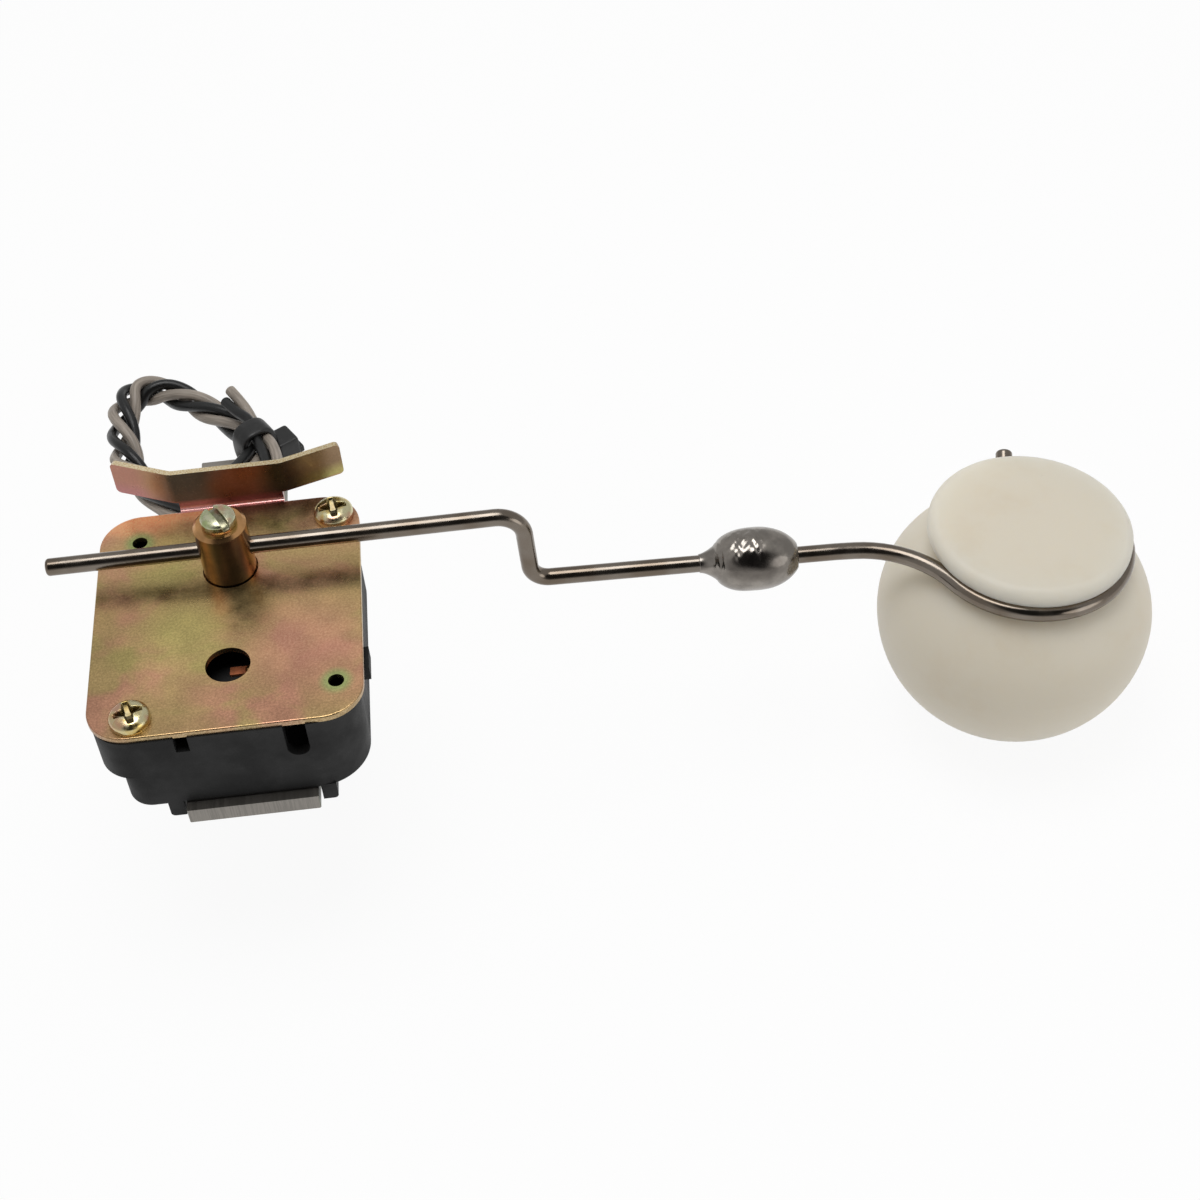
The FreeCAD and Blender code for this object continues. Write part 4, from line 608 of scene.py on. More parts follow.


def plating_finish(settings):
    """Clouded yellow plating: rose and olive clouds on tan, an orange bloom and a brown bank along the back
    edge, a soft dark band in front of the arm, dusk towards the front and left, green rims round the punched
    holes, worn sheared edges, a painted highlight on the stop bracket's upper edge, a painted highlight along
    its root, and painted reflections in the bracket's colours."""
    finish = Finish("clouded_plating", settings.tan, 0.34, 1.0)
    x, y, z = finish.axes()
    top = plate_top()
    wander = finish.times(finish.math("SUBTRACT", finish.noise(9 * MM, 4.0), 0.5), 9 * MM)
    waves = finish.noise(13 * MM, 3.0, 0.5, (1.0, -1.0, 1.0))
    drift = finish.times(finish.math("SUBTRACT", waves, 0.5), 11 * MM)
    rosy = finish.span(finish.noise(17 * MM, 3.0, 0.5, warp=0.5), 0.42, 0.6)
    green = finish.span(finish.noise(15 * MM, 3.0, 0.5, (1.0, 1.2, 1.0), warp=0.4), 0.5, 0.64)
    color = finish.mix(finish.times(rosy, 0.7), settings.tan, settings.rose)
    color = finish.mix(finish.times(green, 0.6), color, settings.olive)
    color = cloud_spots(finish, color, settings)
    deep = finish.math("ADD", y, wander)
    back_bank = finish.span(deep, 8.5 * MM, 15.5 * MM)
    side_run = finish.span(finish.math("ADD", x, drift), -5.5 * MM, 1.5 * MM)
    bank = finish.mix(side_run, settings.orange, settings.brown)
    color = finish.mix(finish.times(back_bank, 0.85), color, bank)
    glow = finish.times(back_bank, finish.math("SUBTRACT", 1.0, side_run, True))
    finish.shade("Metallic", finish.math("SUBTRACT", 1.0, finish.times(glow, 0.5)))
    color = finish.mix(dark_band(finish, x, y, wander), color, settings.dark_tint)
    left = finish.times(finish.span(x, -24 * MM, -10 * MM, 1.0, 0.0),
                        finish.span(y, -18 * MM, -2 * MM, 0.85, 0.0))
    dusk = finish.math("MAXIMUM", finish.span(y, -37 * MM, -20 * MM, 0.62, 0.0), left)
    color = finish.mix(dusk, color, settings.dusk, "MULTIPLY")
    for across, along in PUNCHED_HOLES:
        rim = finish.near((across * MM, along * MM), 1.5 * MM, 3.6 * MM)
        color = finish.mix(finish.times(rim, 0.75), color, settings.green)
    _, _, up = finish.facing()
    wall = finish.span(finish.math("ABSOLUTE", up), 0.2, 0.75, 1.0, 0.0)
    on_bracket = finish.span(z, top + 0.3 * MM, top + 1.0 * MM)
    color = finish.mix(on_bracket, color, bracket_color(finish, settings, x, z, top, drift))
    # Painted highlight: the up-facing upper edge of the stop bracket is lit with glints.
    edge_low, edge_high = (top + height * MM for height in BRACKET_RIM)
    rim = finish.times(finish.span(z, edge_low, edge_high), finish.span(up, 0.2, 0.7))
    sheared = finish.times(wall, finish.math("SUBTRACT", 1.0, on_bracket, True))
    scale = finish.span(finish.noise(0.3 * MM, 3.0, 0.7), 0.4, 0.7, 0.0, 0.55)
    worn = finish.mix(scale, settings.edge, settings.spark)
    color = finish.mix(finish.times(sheared, 0.5), color, worn)
    glint = finish.span(finish.noise(0.3 * MM, 3.0, 0.7), 0.36, 0.62)
    color = finish.mix(rim, color, finish.mix(glint, settings.tan, settings.spark))
    # Painted highlight: a bright pink line along the fillet at the stop bracket's root.
    off_root = finish.math("ABSOLUTE", finish.math("SUBTRACT", y, BRACKET_ROOT * MM))
    root = finish.span(off_root, 0.3 * MM, 0.7 * MM, 1.0, 0.0)
    root = finish.times(root, finish.span(z, top + 0.4 * MM, top + 0.8 * MM, 1.0, 0.0))
    from_middle = finish.math("ABSOLUTE", x)
    root = finish.times(root, finish.span(from_middle, 10.0 * MM, 10.6 * MM, 1.0, 0.0))
    color = finish.mix(root, color, settings.root)
    grain = finish.noise(0.42 * MM, 3.0, 0.75)
    fleck = finish.span(grain, 0.62, 0.74)
    mottle = finish.mix(finish.span(grain, 0.35, 0.65), (0.3, 0.3, 0.3), (0.8, 0.8, 0.8))
    color = finish.mix(finish.span(on_bracket, 0.0, 1.0, 0.34, 0.12), color, mottle, "OVERLAY")
    color = finish.mix(finish.times(fleck, 0.24), color, settings.spark)
    finish.shade("Base Color", color)
    finish.shade("Roughness", finish.span(finish.noise(5 * MM, 4.0), 0.3, 0.7, 0.26, 0.4))
    finish.bump(grain, 0.03 * MM, 0.35)
    return finish.material


def cloud_spots(finish, color, settings):
    """Larger clouds at their own places: each row has a place, an inner and an outer radius in millimetres,
    a share and a colour."""
    spots = [(13, -22, 4, 18, 0.7, settings.rose), (-8, -14, 2, 10, 0.6, settings.olive),
             (-25, 13, 1, 9, 0.8, settings.rose), (-11, 3, 2, 9, 0.55, settings.olive),
             (21, 9, 2, 10, 0.6, settings.rose), (4, -10, 1, 6, 0.5, settings.dark_tint),
             (-1.4, -7.0, 0.3, 2.6, 0.25, settings.orange), (-1.2, -10.0, 0.3, 2.6, 0.2, settings.orange)]
    for across, along, inner, outer, share, tint in spots:
        spot = finish.near((across * MM, along * MM), inner * MM, outer * MM)
        color = finish.mix(finish.times(spot, share), color, tint)
    return color


def dark_band(finish, x, y, wander):
    """Share of the dark tint: a soft speckled band that crosses the plate in front of the arm, darker to the
    right.
    """
    bent = finish.math("ADD", y, finish.times(x, 0.075))
    bent = finish.math("ADD", bent, finish.times(wander, 0.35))
    ahead = finish.span(bent, -9.0 * MM, -5.2 * MM)
    behind = finish.span(bent, -5.0 * MM, -1.2 * MM)
    band = finish.math("SUBTRACT", ahead, behind, True)
    speck = finish.span(finish.noise(0.8 * MM, 3.0, 0.7), 0.34, 0.62, 0.75, 1.0)
    dark = finish.span(x, -14 * MM, 9 * MM, 0.42, 0.6)
    return finish.times(finish.times(band, speck), dark, True)


def bracket_color(finish, settings, x, z, top, drift):
    """Colours along the stop bracket, partly the plating's own tints and partly painted reflections: rose
    with a pink lower edge, a dark turn of painted reflection, maroon, another such dark turn, then drab with
    olive along its lower edge; the root is pink."""
    run = finish.math("ADD", x, finish.times(drift, 0.5))
    low = finish.span(z, top + 2.0 * MM, top + 5.6 * MM, 1.0, 0.0)
    color = finish.mix(finish.times(low, 0.8), settings.wing, settings.pink)
    early = finish.times(finish.span(run, -17.0 * MM, -14.0 * MM), 0.3)
    color = finish.mix(early, color, settings.olive)
    # The two dark turns are painted dark reflections.
    color = finish.mix(finish.span(run, -15.0 * MM, -9.5 * MM), color, settings.umber_reflection)
    color = finish.mix(finish.span(run, -4.5 * MM, 1.5 * MM), color, settings.maroon)
    color = finish.mix(finish.span(run, 4.5 * MM, 9.5 * MM), color, settings.umber_reflection)
    tip = finish.mix(finish.times(low, 0.8), settings.drab, settings.olive)
    color = finish.mix(finish.span(run, 10.0 * MM, 16.0 * MM), color, tip)
    root = finish.span(z, top + 1.4 * MM, top + 2.4 * MM, 1.0, 0.0)
    return finish.mix(finish.times(root, 0.8), color, settings.pink)


class SENDER_OT_cover(bpy.types.Operator):
    """Plate the cover and its stop bracket"""
    bl_idname = "sender.cover"
    bl_label = "Cover plate"

    def execute(self, context):
        dress(plating_finish(context.scene.sender_plating), "cover_plate")
        return {"FINISHED"}


def bright_plating(name, color, tint, roughness, recess):
    """Bright plated screw: patches of a second colour and of rose on shiny metal, and painted shade in its
    recess.
    """
    finish = Finish(name, color, roughness, 1.0)
    patch = finish.span(finish.noise(2.6 * MM, 2.0, warp=0.8), 0.4, 0.66)
    second = finish.span(finish.noise(3.4 * MM, 2.0, 0.5, (1.0, -1.0, 1.2)), 0.5, 0.7)
    toned = finish.mix(patch, color, tint)
    toned = finish.mix(finish.times(second, 0.8), toned, paint(196, 146, 124))
    sunk = finish.nodes.new("ShaderNodeAttribute")
    sunk.attribute_name = "sunk"
    # Painted shade: the drive's recess darkens with its depth; recess is the share of that painted shade.
    shadow = finish.times(sunk.outputs["Fac"], recess)
    finish.shade("Base Color", finish.mix(shadow, toned, paint(58, 47, 31)))
    wear = finish.noise(0.7 * MM)
    finish.shade("Roughness", finish.span(wear, 0.3, 0.7, roughness - 0.08, roughness + 0.14))
    finish.bump(finish.noise(0.3 * MM, 2.0), 0.012 * MM, 0.5)
    return finish.material


# Screws: places in millimetres, turns in radians, sizes in metres.
COVER_SCREWS = (((-16.4, -33.8), 0.28), ((18.8, 10.7), 0.15))
COVER_HEAD = {"head_radius": 3.6 * MM, "rim_height": 0.9 * MM, "crown": 2.5 * MM, "reach": 8.0 * MM}
CLAMP_HEAD = {"head_radius": 3.15 * MM, "rim_height": 1.2 * MM, "crown": 2.3 * MM, "reach": 4.6 * MM}
SHANK_RADIUS = 1.75 * MM
CROSS = {"span": 2.15 * MM, "width": 0.84 * MM, "depth": 1.7 * MM}
SLOT = {"angle": math.radians(-60.0), "width": 1.35 * MM, "depth": 0.85 * MM}
SLOT_WALL = 0.08 * MM
FULL_SHADE = 0.7 * MM       # depth at which the painted shade in a recess is full
SCREW_ROWS = 64
SCREW_SIDES = 192


def head_profile(head_radius, rim_height, crown, reach):
    """Radii and heights of a screw from the middle of its crown, over its rim, to the end of its shank.
    The crown follows a superellipse, the underside is flat and the shank is plain."""
    share = np.sin(np.linspace(0.0, 0.5 * math.pi, SCREW_ROWS))[1:]
    crown_height = rim_height + (crown - rim_height) * np.sqrt(1 - share ** 2.6)
    shank = [SHANK_RADIUS, SHANK_RADIUS, 0.6 * SHANK_RADIUS]
    radius = np.concatenate([head_radius * share, [head_radius, head_radius], shank])
    height = np.concatenate([crown_height, [0.5 * rim_height, 0.0, 0.0, 0.4 * SHANK_RADIUS - reach, -reach]])
    return radius, height


def cut_screw(head, sink):
    """Points and faces of a screw about its own axis, and how far each point was lowered, from nought to one.
    sink(x, y) is the depth by which the drive lowers the crown and the rim."""
    radius, height = head_profile(**head)
    turn = np.arange(SCREW_SIDES) * TAU / SCREW_SIDES
    x = radius[:, None] * np.cos(turn)[None, :]
    y = radius[:, None] * np.sin(turn)[None, :]
    z = np.repeat(height[:, None], SCREW_SIDES, axis=1)
    cut = sink(x, y) * (height > 0.02 * height.max())[:, None]
    sunk = np.maximum(z - cut, np.minimum(z, 0.12 * height.max()))
    points, faces = ring_mesh(np.stack([x, y, sunk], axis=-1))
    lowered = np.clip((z - sunk) / FULL_SHADE, 0.0, 1.0)
    return points, faces, np.append(lowered.ravel(), [lowered[0].mean(), 0.0])


def mark_points(mesh, name, values):
    """Store one number for each vertex as an attribute of the mesh."""
    layer = mesh.attributes.new(name, "FLOAT", "POINT")
    layer.data.foreach_set("value", values.astype(np.float32))


def cross_sink(x, y, span, width, depth):
    """Depth of a cross recess: it grows with the distance inside a cross and fades towards the arms' ends."""
    along = np.maximum(np.abs(x), np.abs(y))
    across = np.minimum(np.abs(x), np.abs(y))
    wide = 1.15 - 0.45 * along / span + 0.5 * np.clip(1.0 - along / (0.6 * span), 0.0, 1.0) ** 2
    inside = np.maximum(width * wide - across, 0.0)
    floor = depth * np.clip(1.18 - along / span, 0.0, 1.0) ** 0.6
    return np.minimum(4.0 * inside, floor) * (along < span * 1.18)


def slot_sink(x, y, angle, width, depth):
    """Depth of a straight slot: full inside half its width, with steep soft walls."""
    across = np.abs(-x * math.sin(angle) + y * math.cos(angle))
    return depth * np.clip((0.5 * (width + SLOT_WALL) - across) / SLOT_WALL, 0.0, 1.0)


class SENDER_OT_screws(bpy.types.Operator):
    """Turn the two cover screws with their cross recess and the slotted clamp screw"""
    bl_idname = "sender.screws"
    bl_label = "Screws"

    def execute(self, context):
        metals = context.scene.sender_metals
        # The last number is the share of painted shade in the recess.
        gold = bright_plating("gold_screw_plating", metals.screw, paint(200, 174, 106), 0.2, 0.75)
        pale = bright_plating("pale_screw_plating", paint(190, 190, 162), paint(168, 178, 130), 0.28, 0.6)
        heads, faces, cuts = [], [], []
        for place, turn in COVER_SCREWS:
            cos, sin = math.cos(turn), math.sin(turn)
            points, quads, cut = cut_screw(
                COVER_HEAD, lambda x, y: cross_sink(x * cos + y * sin, y * cos - x * sin, **CROSS))
            done = sum(len(head) for head in heads)
            faces += [[index + done for index in face] for face in quads]
            heads.append(points + np.array([place[0] * MM, place[1] * MM, plate_top()]))
            cuts.append(cut)
        screws = make_piece("cover_screw_heads", np.concatenate(heads), faces, gold, BASE)
        mark_points(screws.data, "sunk", np.concatenate(cuts))
        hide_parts("cover_screws")
        points, faces, cut = cut_screw(CLAMP_HEAD, lambda x, y: slot_sink(x, y, **SLOT))
        hub_top = np.array([0.0, 0.0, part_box("hub_shaft")[1][2]])
        clamp = make_piece("clamp_screw_slotted", points + hub_top, faces, pale, ARM)
        mark_points(clamp.data, "sunk", cut)
        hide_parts("clamp_screw")
        return {"FINISHED"}


HUB_DARK_REFLECTION = 0.85        # strength of the painted dark reflection down the hub's front


class SENDER_OT_hub(bpy.types.Operator):
    """Finish the turned hub: fine rings from the tool, clouds of tarnish and a painted dark reflection down
    the side that faces the eye
    """
    bl_idname = "sender.hub"
    bl_label = "Hub"

    def execute(self, context):
        brass = context.scene.sender_metals.brass
        finish = Finish("turned_brass_satin", brass, 0.3, 1.0)
        rings = finish.noise(0.5 * MM, 3.0, 0.6, (0.03, 0.03, 1.0))
        cloud = finish.noise(5 * MM, 3.0)
        dark = scaled(brass, 0.6)
        color = finish.mix(finish.span(cloud, 0.35, 0.7), brass, dark)
        x, y, _ = finish.axes()
        # Painted dark reflection: the hub's sides that face the eye, in plan, are darkened.
        front = finish.math("SUBTRACT", finish.times(x, 0.2), finish.times(y, 0.98))
        _, _, up = finish.facing()
        side = finish.span(up, 0.1, 0.4, HUB_DARK_REFLECTION, 0.0)
        stain_and_dark_reflection = finish.times(finish.span(front, 3.2 * MM, 4.4 * MM), side)
        finish.shade("Base Color", finish.mix(stain_and_dark_reflection, color, paint(98, 90, 85)))
        finish.shade("Roughness", finish.span(rings, 0.3, 0.7, 0.19, 0.27))
        finish.bump(rings, 0.008 * MM, 0.25)
        dress(finish.material, "hub_shaft")
        return {"FINISHED"}


class SENDER_OT_arm(bpy.types.Operator):
    """Polish the bent rod, with faint draw marks along it"""
    bl_idname = "sender.arm"
    bl_label = "Float arm"

    def execute(self, context):
        rod = context.scene.sender_metals.rod
        finish = Finish("drawn_rod_polished", rod, 0.22, 1.0)
        draw = finish.noise(0.5 * MM, 2.0, 0.5, (0.02, 1.0, 1.0))
        cloud = finish.noise(9 * MM, 3.0)
        brown = scaled(rod, (0.74, 0.68, 0.62))
        finish.shade("Base Color", finish.mix(finish.span(cloud, 0.35, 0.7), rod, brown))
        finish.shade("Roughness", finish.span(finish.noise(3 * MM, 4.0), 0.3, 0.7, 0.14, 0.24))
        finish.bump(draw, 0.01 * MM, 0.25)
        dress(finish.material, "float_arm")
        return {"FINISHED"}


# Ballast: sizes in metres; its middle lies at BALLAST_X along the arm.
BALLAST = {"length": 15.4 * MM, "cone": 2.8 * MM, "radius": 5.9 * MM, "end": 2.5 * MM, "shoulder": 3.1 * MM,
           "tip": 1.75 * MM}
BALLAST_X = 95.0 * MM
BALLAST_DROOP = math.radians(2.0)
BALLAST_DARK_REFLECTION = 0.6         # strength of the painted dark reflection along its front, where it faces the eye
BALLAST_SIDES = 120
CONE_ROWS = 23
EGG_ROWS = 87


def ballast_rings(length, cone, radius, end, shoulder, tip):
    """Cast egg about X: half an oval each way from the middle, a flared cone at the hub end and a blunt outer
    end, with low waves on the skin, a wrinkled patch on top and a shallow seam where the cone starts."""
    half = length / 2
    along = np.concatenate([np.linspace(-half - cone, -half, CONE_ROWS + 1)[:-1],
                            np.linspace(-half, half, EGG_ROWS)])
    turn = np.arange(BALLAST_SIDES) * TAU / BALLAST_SIDES
    left = radius * np.clip(1 - np.abs(along / half) ** 2.5 * (1 - (shoulder / radius) ** 2.5), 0, 1) ** 0.4
    right = radius * np.sqrt(np.clip(1 - (along / half) ** 2 * (1 - (end / radius) ** 2), 0, 1))
    oval = np.where(along < 0, left, right)
    taper = tip + (shoulder - tip) * np.clip((along + half + cone) / cone, 0, 1) ** 1.6
    plain = np.where(along < -half, taper, oval)
    s = along[:, None] / MM
    t = turn[None, :]
    waves = 0.03 * np.sin(3 * t + 0.5 * s) + 0.02 * np.sin(5 * t - 0.7 * s + 1.3) \
        + 0.02 * np.sin(0.9 * s + 2 * t)
    patch = np.exp(-((s + 2.2) / 3.4) ** 4) * np.exp(-((t - 1.4) / 0.55) ** 4)
    creases = patch * (0.07 * np.sin(2.0 * s + 11 * t + 2.0 * np.sin(1.7 * s))
                       + 0.05 * np.sin(3.5 * s - 15 * t + 1.0))
    seam = -0.16 * np.exp(-((s + half / MM - 0.5 - 0.6 * np.cos(t - 1.0)) / 0.22) ** 2)
    fade = np.clip((along + half + cone) / (1.2 * MM), 0, 1)[:, None]
    r = plain[:, None] + (waves + creases + seam) * MM * fade
    x = np.repeat(along[:, None], BALLAST_SIDES, axis=1)
    return np.stack([x, -r * np.cos(t), r * np.sin(t)], axis=-1)


class SENDER_OT_ballast(bpy.types.Operator):
    """Cast the lead egg on the rod, with a painted dark reflection along its front, where it faces the eye"""
    bl_idname = "sender.ballast"
    bl_label = "Ballast"

    def execute(self, context):
        lead = context.scene.sender_metals.ballast
        finish = Finish("cast_lead_burnished", lead, 0.22, 1.0)
        cloud = finish.span(finish.noise(3.2 * MM, 4.0, 0.6), 0.36, 0.66)
        dull = scaled(lead, 0.72)
        # Painted dark reflection on the faces turned towards the eye.
        _, fore, up = finish.facing()
        front = finish.math("SUBTRACT", finish.times(up, 0.5), finish.times(fore, 0.86))
        stain_and_dark_reflection = finish.span(front, 0.8, 0.97, 0.0, BALLAST_DARK_REFLECTION)
        finish.shade("Base Color", finish.mix(stain_and_dark_reflection, finish.mix(cloud, dull, lead), paint(72, 66, 62)))
        finish.shade("Roughness", finish.span(finish.noise(2.2 * MM, 4.0), 0.3, 0.7, 0.14, 0.26))
        finish.bump(finish.noise(1.1 * MM, 3.0, 0.6), 0.04 * MM, 0.4)
        low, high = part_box("ballast_weight")
        points, faces = ring_mesh(ballast_rings(**BALLAST))
        cos, sin = math.cos(BALLAST_DROOP), math.sin(BALLAST_DROOP)
        tilted = np.stack([points[:, 0] * cos + points[:, 2] * sin, points[:, 1],
                           points[:, 2] * cos - points[:, 0] * sin], axis=-1)
        middle = np.array([BALLAST_X, 0.0, (low[2] + high[2]) / 2])
        egg = make_piece("ballast_cast", tilted + middle, faces, finish.material, ARM)
        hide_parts("ballast_weight")
        return {"FINISHED"}


class SENDER_OT_float(bpy.types.Operator):
    """Finish the moulded float: cream, slightly translucent, with faint smudges"""
    bl_idname = "sender.float"
    bl_label = "Float"

    def execute(self, context):
        cream = context.scene.sender_mouldings.cream
        finish = Finish("float_moulding_cream", cream, 0.52)
        smudge = finish.span(finish.noise(16 * MM, 4.0, 0.6), 0.5, 0.78)
        warm = scaled(cream, (0.97, 0.94, 0.9))
        spot = finish.span(finish.noise(2.4 * MM, 3.0, 0.6), 0.68, 0.8)
        color = finish.mix(smudge, cream, warm)
        finish.shade("Base Color", finish.mix(finish.times(spot, 0.1), color, paint(170, 155, 132)))
        finish.shade("Subsurface Weight", 0.9)
        finish.shade("Subsurface Radius", (12.5 * MM, 12.0 * MM, 11.0 * MM))
        finish.shade("Subsurface Scale", 1.0)
        finish.bump(finish.noise(0.8 * MM, 3.0), 0.02 * MM, 0.4)
        dress(finish.material, "float")
        return {"FINISHED"}


class SENDER_OT_housing(bpy.types.Operator):
    """Finish the moulded housing, its rubber grommet and the carrier inside"""
    bl_idname = "sender.housing"
    bl_label = "Housing"

    def execute(self, context):
        charcoal = context.scene.sender_mouldings.charcoal
        finish = Finish("charcoal_moulding", charcoal, 0.62)
        dust = finish.span(finish.noise(5 * MM, 5.0, 0.65), 0.5, 0.8)
        pale = scaled(charcoal, 1.7, 0.006)
        finish.shade("Base Color", finish.mix(dust, charcoal, pale))
        finish.shade("Roughness", finish.span(finish.noise(8 * MM, 3.0), 0.3, 0.7, 0.54, 0.72))
        finish.shade("Specular IOR Level", 0.3)
        finish.bump(finish.noise(0.35 * MM, 2.0), 0.03 * MM, 0.5)
        dress(finish.material, "housing", "wiper_carrier")
        rubber = Finish("grommet_rubber", paint(26, 26, 26), 0.74)
        rubber.bump(rubber.noise(0.5 * MM, 2.0), 0.03 * MM, 0.5)
        rubber.shade("Base Color", rubber.mix(rubber.noise(2 * MM), paint(20, 20, 20), paint(38, 37, 36)))
        dress(rubber.material, "lead_grommet")
        return {"FINISHED"}


class SENDER_OT_strap(bpy.types.Operator):
    """Finish the bare bar and its rivets: shear marks on its ends, dull edges and painted shade on its top
    before the housing
    """
    bl_idname = "sender.strap"
    bl_label = "Mounting strap"

    def execute(self, context):
        strap = context.scene.sender_metals.strap
        finish = Finish("bare_bar", strap, 0.42, 0.9)
        lines = finish.noise(0.26 * MM, 3.0, 0.6, (1.0, 0.015, 0.04))
        cloud = finish.noise(9 * MM, 4.0)
        dull = scaled(strap, 0.5)
        across, fore, up = finish.facing()
        on_end = finish.span(finish.math("ABSOLUTE", fore), 0.5, 0.9)
        shear = finish.span(lines, 0.36, 0.62, 1.0, 0.0)
        shear = finish.times(shear, finish.times(on_end, 0.7))
        color = finish.mix(finish.times(on_end, 0.35), strap, dull)
        color = finish.mix(shear, color, dull)
        # Painted shade and painted reflection of the dark housing on the bar's top in front of it.
        _, y, _ = finish.axes()
        ahead = finish.span(y, -37 * MM, -34 * MM, 0.6, 0.0)
        housing_shade = finish.times(finish.span(up, 0.5, 0.9), ahead)
        color = finish.mix(housing_shade, color, paint(52, 50, 46))
        on_edge = finish.times(finish.span(finish.math("ABSOLUTE", across), 0.5, 0.9), 0.8)
        color = finish.mix(on_edge, color, paint(84, 88, 70))
        color = finish.mix(finish.times(finish.span(cloud, 0.45, 0.75), 0.4), color, dull)
        finish.shade("Base Color", color)
        finish.shade("Roughness", finish.span(lines, 0.3, 0.7, 0.34, 0.54))
        finish.bump(lines, 0.03 * MM, 0.3)
        dress(finish.material, "mounting_strap", "strap_rivets")
        return {"FINISHED"}


class SENDER_OT_contacts(bpy.types.Operator):
    """Finish the copper contact, the track and the terminals inside the housing"""
    bl_idname = "sender.contacts"
    bl_label = "Contacts"

    def execute(self, context):
        metals = context.scene.sender_metals
        copper = Finish("rolled_copper", metals.copper, 0.4, 0.45)
        tarnish = copper.span(copper.noise(2 * MM, 4.0), 0.4, 0.72)
        copper.shade("Base Color", copper.mix(tarnish, metals.copper, scaled(metals.copper, 0.6)))
        copper.bump(copper.noise(0.4 * MM, 2.0, 0.5, (0.05, 1.0, 1.0)), 0.02 * MM, 0.4)
        dress(copper.material, "contact_blade", "contact_button", "spring_washer")
        yellow = Finish("terminal_brass", metals.brass, 0.36, 1.0)
        stain_and_dark_reflection = yellow.noise(2 * MM)
        yellow.shade("Base Color", yellow.mix(stain_and_dark_reflection, metals.brass, scaled(metals.brass, 0.7)))
        dress(yellow.material, "blade_rivet", "hub_terminal", "winding_terminal", "terminal_rivets")
        card = Finish("brown_card_laminate", paint(92, 64, 40), 0.66)
        card.shade("Base Color", card.mix(card.noise(1.5 * MM, 4.0), paint(78, 52, 32), paint(112, 80, 52)))
        dress(card.material, "resistor_former")
        wound = Finish("wound_resistance_wire", paint(150, 146, 140), 0.32, 1.0)
        wound.bump(wound.noise(0.25 * MM, 1.0, 0.4), 0.05 * MM, 0.8)
        turns = wound.noise(0.3 * MM)
        wound.shade("Base Color", wound.mix(turns, paint(118, 112, 106), paint(176, 172, 164)))
        dress(wound.material, "resistance_winding")
        return {"FINISHED"}


# Stage: lengths in metres.
LAMP_TARGET = (0.06, 0.0, 0.01)
DIM_WAY = (0.1, -0.72, 0.69)        # direction of the dim patch in the surround
DIM_RIM = (0.74, 0.9)               # cosines at which it starts and is full
DIM_SHARE = 0.06                    # its strength, as a share of the surround's
FLOOR_HALF = 12.0
FLOOR_GLOW = 0.92                   # share of plain white in what the eye sees of the floor
SENSOR_WIDTH = 36.0
CLIP = (0.01, 60.0)


def soft_lamp(name, place, size, power):
    """A large soft lamp that faces the object."""
    lamp = bpy.data.lights.new(name, "AREA")
    lamp.shape = "DISK"
    lamp.size = size
    lamp.energy = power
    holder = bpy.data.objects.new(name, lamp)
    bpy.context.scene.collection.objects.link(holder)
    aim = np.array(LAMP_TARGET) - np.array(place)
    aim = aim / np.linalg.norm(aim)
    side = np.cross(aim, [0.0, 0.0, 1.0])
    side = side / np.linalg.norm(side)
    set_axes(holder, side, np.cross(side, aim), -aim, place)


def set_axes(holder, x_axis, y_axis, z_axis, place):
    """Place an object by its three axes and its origin."""
    matrix = np.eye(4)
    matrix[:3, 0], matrix[:3, 1], matrix[:3, 2], matrix[:3, 3] = x_axis, y_axis, z_axis, place
    holder.matrix_world = Matrix(matrix.tolist())


def make_world(strength):
    """Studio surround: evenly pale, with a dim patch in front where the eye stands."""
    world = bpy.data.worlds.new("studio")
    world.use_nodes = True
    nodes, links = world.node_tree.nodes, world.node_tree.links
    background = nodes["Background"]
    coordinates = nodes.new("ShaderNodeTexCoord")
    dot = nodes.new("ShaderNodeVectorMath")
    dot.operation = "DOT_PRODUCT"
    dot.inputs[1].default_value = DIM_WAY
    links.new(coordinates.outputs["Generated"], dot.inputs[0])
    dim = nodes.new("ShaderNodeMapRange")
    dim.interpolation_type = "SMOOTHSTEP"
    for index, value in enumerate((*DIM_RIM, strength, DIM_SHARE * strength), start=1):
        dim.inputs[index].default_value = value
    links.new(dot.outputs["Value"], dim.inputs[0])
    links.new(dim.outputs[0], background.inputs["Strength"])
    background.inputs["Color"].default_value = (1.0, 1.0, 1.0, 1.0)
    bpy.context.scene.world = world


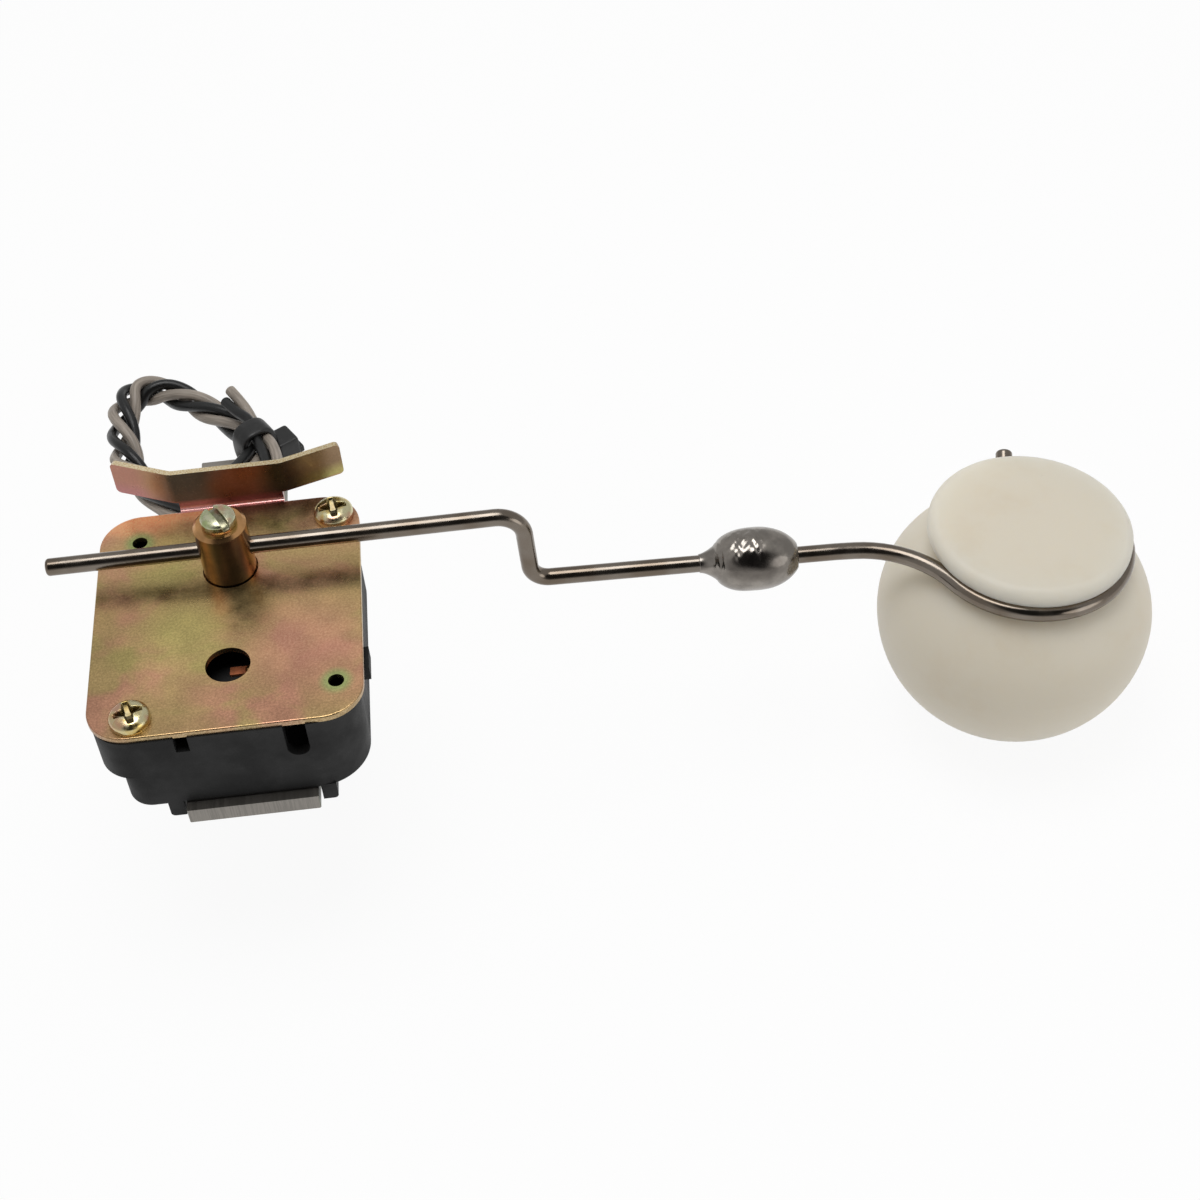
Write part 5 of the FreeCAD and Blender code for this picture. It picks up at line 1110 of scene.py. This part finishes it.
def make_floor(height, color):
    """A wide pale floor that reads white to the eye and keeps a faint shadow."""
    corners = FLOOR_HALF * np.array([[-1, -1, 0], [1, -1, 0], [1, 1, 0], [-1, 1, 0]])
    mesh = bpy.data.meshes.new("floor")
    mesh.from_pydata((corners + np.array([0.0, 0.0, height])).tolist(), [], [[0, 1, 2, 3]])
    floor = bpy.data.objects.new("floor", mesh)
    bpy.context.scene.collection.objects.link(floor)
    finish = Finish("pale_floor", color, 0.9)
    nodes, links = finish.nodes, finish.links
    glow = nodes.new("ShaderNodeEmission")
    path = nodes.new("ShaderNodeLightPath")
    seen = finish.math("MAXIMUM", path.outputs["Is Camera Ray"], path.outputs["Is Glossy Ray"])
    seen = finish.math("MAXIMUM", seen, path.outputs["Is Transmission Ray"])
    share = finish.times(seen, FLOOR_GLOW)
    blend = nodes.new("ShaderNodeMixShader")
    links.new(share, blend.inputs[0])
    links.new(finish.shader.outputs[0], blend.inputs[1])
    links.new(glow.outputs[0], blend.inputs[2])
    links.new(blend.outputs[0], nodes["Material Output"].inputs["Surface"])
    mesh.materials.append(finish.material)
    floor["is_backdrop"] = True


def make_camera(settings):
    """Camera from its heading, tilt and roll: forward, right and down are turned unit vectors."""
    camera = bpy.data.cameras.new("photo_view")
    camera.sensor_width = SENSOR_WIDTH
    camera.lens = settings.lens
    camera.clip_start, camera.clip_end = CLIP
    holder = bpy.data.objects.new("photo_view", camera)
    bpy.context.scene.collection.objects.link(holder)
    yaw, tilt, roll = settings.heading, settings.tilt, settings.roll
    forward = np.array([math.sin(yaw) * math.cos(tilt), math.cos(yaw) * math.cos(tilt), -math.sin(tilt)])
    right = np.array([math.cos(yaw), -math.sin(yaw), 0.0])
    down = np.cross(forward, right)
    image_right = math.cos(roll) * right + math.sin(roll) * down
    image_down = math.cos(roll) * down - math.sin(roll) * right
    place = (settings.eye_side, -settings.eye_front, settings.eye_height)
    set_axes(holder, image_right, -image_down, -forward, place)
    bpy.context.scene.camera = holder


class SENDER_OT_stage(bpy.types.Operator):
    """Set the floor, the lamps, the surround and the camera"""
    bl_idname = "sender.stage"
    bl_label = "Stage"

    def execute(self, context):
        settings = context.scene.sender_stage
        make_floor(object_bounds()[0][2] - settings.floor_gap, settings.floor_color)
        make_world(settings.surround)
        soft_lamp("overhead", (0.02, 0.02, 0.76), 0.5, settings.key_power)
        soft_lamp("right_fill", (0.62, -0.45, 0.2), 0.45, settings.fill_power)
        make_camera(settings)
        context.scene.view_settings.view_transform = "Standard"
        return {"FINISHED"}


PIECES = (SENDER_OT_leads, SENDER_OT_cable_tie, SENDER_OT_cover, SENDER_OT_screws, SENDER_OT_hub,
          SENDER_OT_arm, SENDER_OT_ballast, SENDER_OT_float, SENDER_OT_housing, SENDER_OT_strap,
          SENDER_OT_contacts, SENDER_OT_stage)
SETTINGS = {"sender_stage": StageSettings, "sender_plating": PlateSettings, "sender_metals": MetalSettings,
            "sender_mouldings": MouldingSettings}


class SENDER_PT_pieces(bpy.types.Panel):
    """Lists the pieces in the order they are made"""
    bl_idname = "SENDER_PT_pieces"
    bl_label = "Tank level sender"
    bl_space_type = "VIEW_3D"
    bl_region_type = "UI"
    bl_category = "Sender"

    def draw(self, context):
        for piece in PIECES:
            self.layout.operator(piece.bl_idname)
        for name, group in SETTINGS.items():
            box = self.layout.box()
            for setting in group.__annotations__:
                box.prop(getattr(context.scene, name), setting)


def register():
    """Add the settings, the operators and the panel."""
    for name, group in SETTINGS.items():
        bpy.utils.register_class(group)
        setattr(bpy.types.Scene, name, bpy.props.PointerProperty(type=group))
    for entry in (*PIECES, SENDER_PT_pieces):
        bpy.utils.register_class(entry)


def unregister():
    """Take them all away again."""
    for entry in (SENDER_PT_pieces, *reversed(PIECES)):
        bpy.utils.unregister_class(entry)
    for name, group in SETTINGS.items():
        delattr(bpy.types.Scene, name)
        bpy.utils.unregister_class(group)


def main():
    register()
    for piece in PIECES:
        family, action = piece.bl_idname.split(".")
        getattr(getattr(bpy.ops, family), action)()


if __name__ == "__main__":
    main()
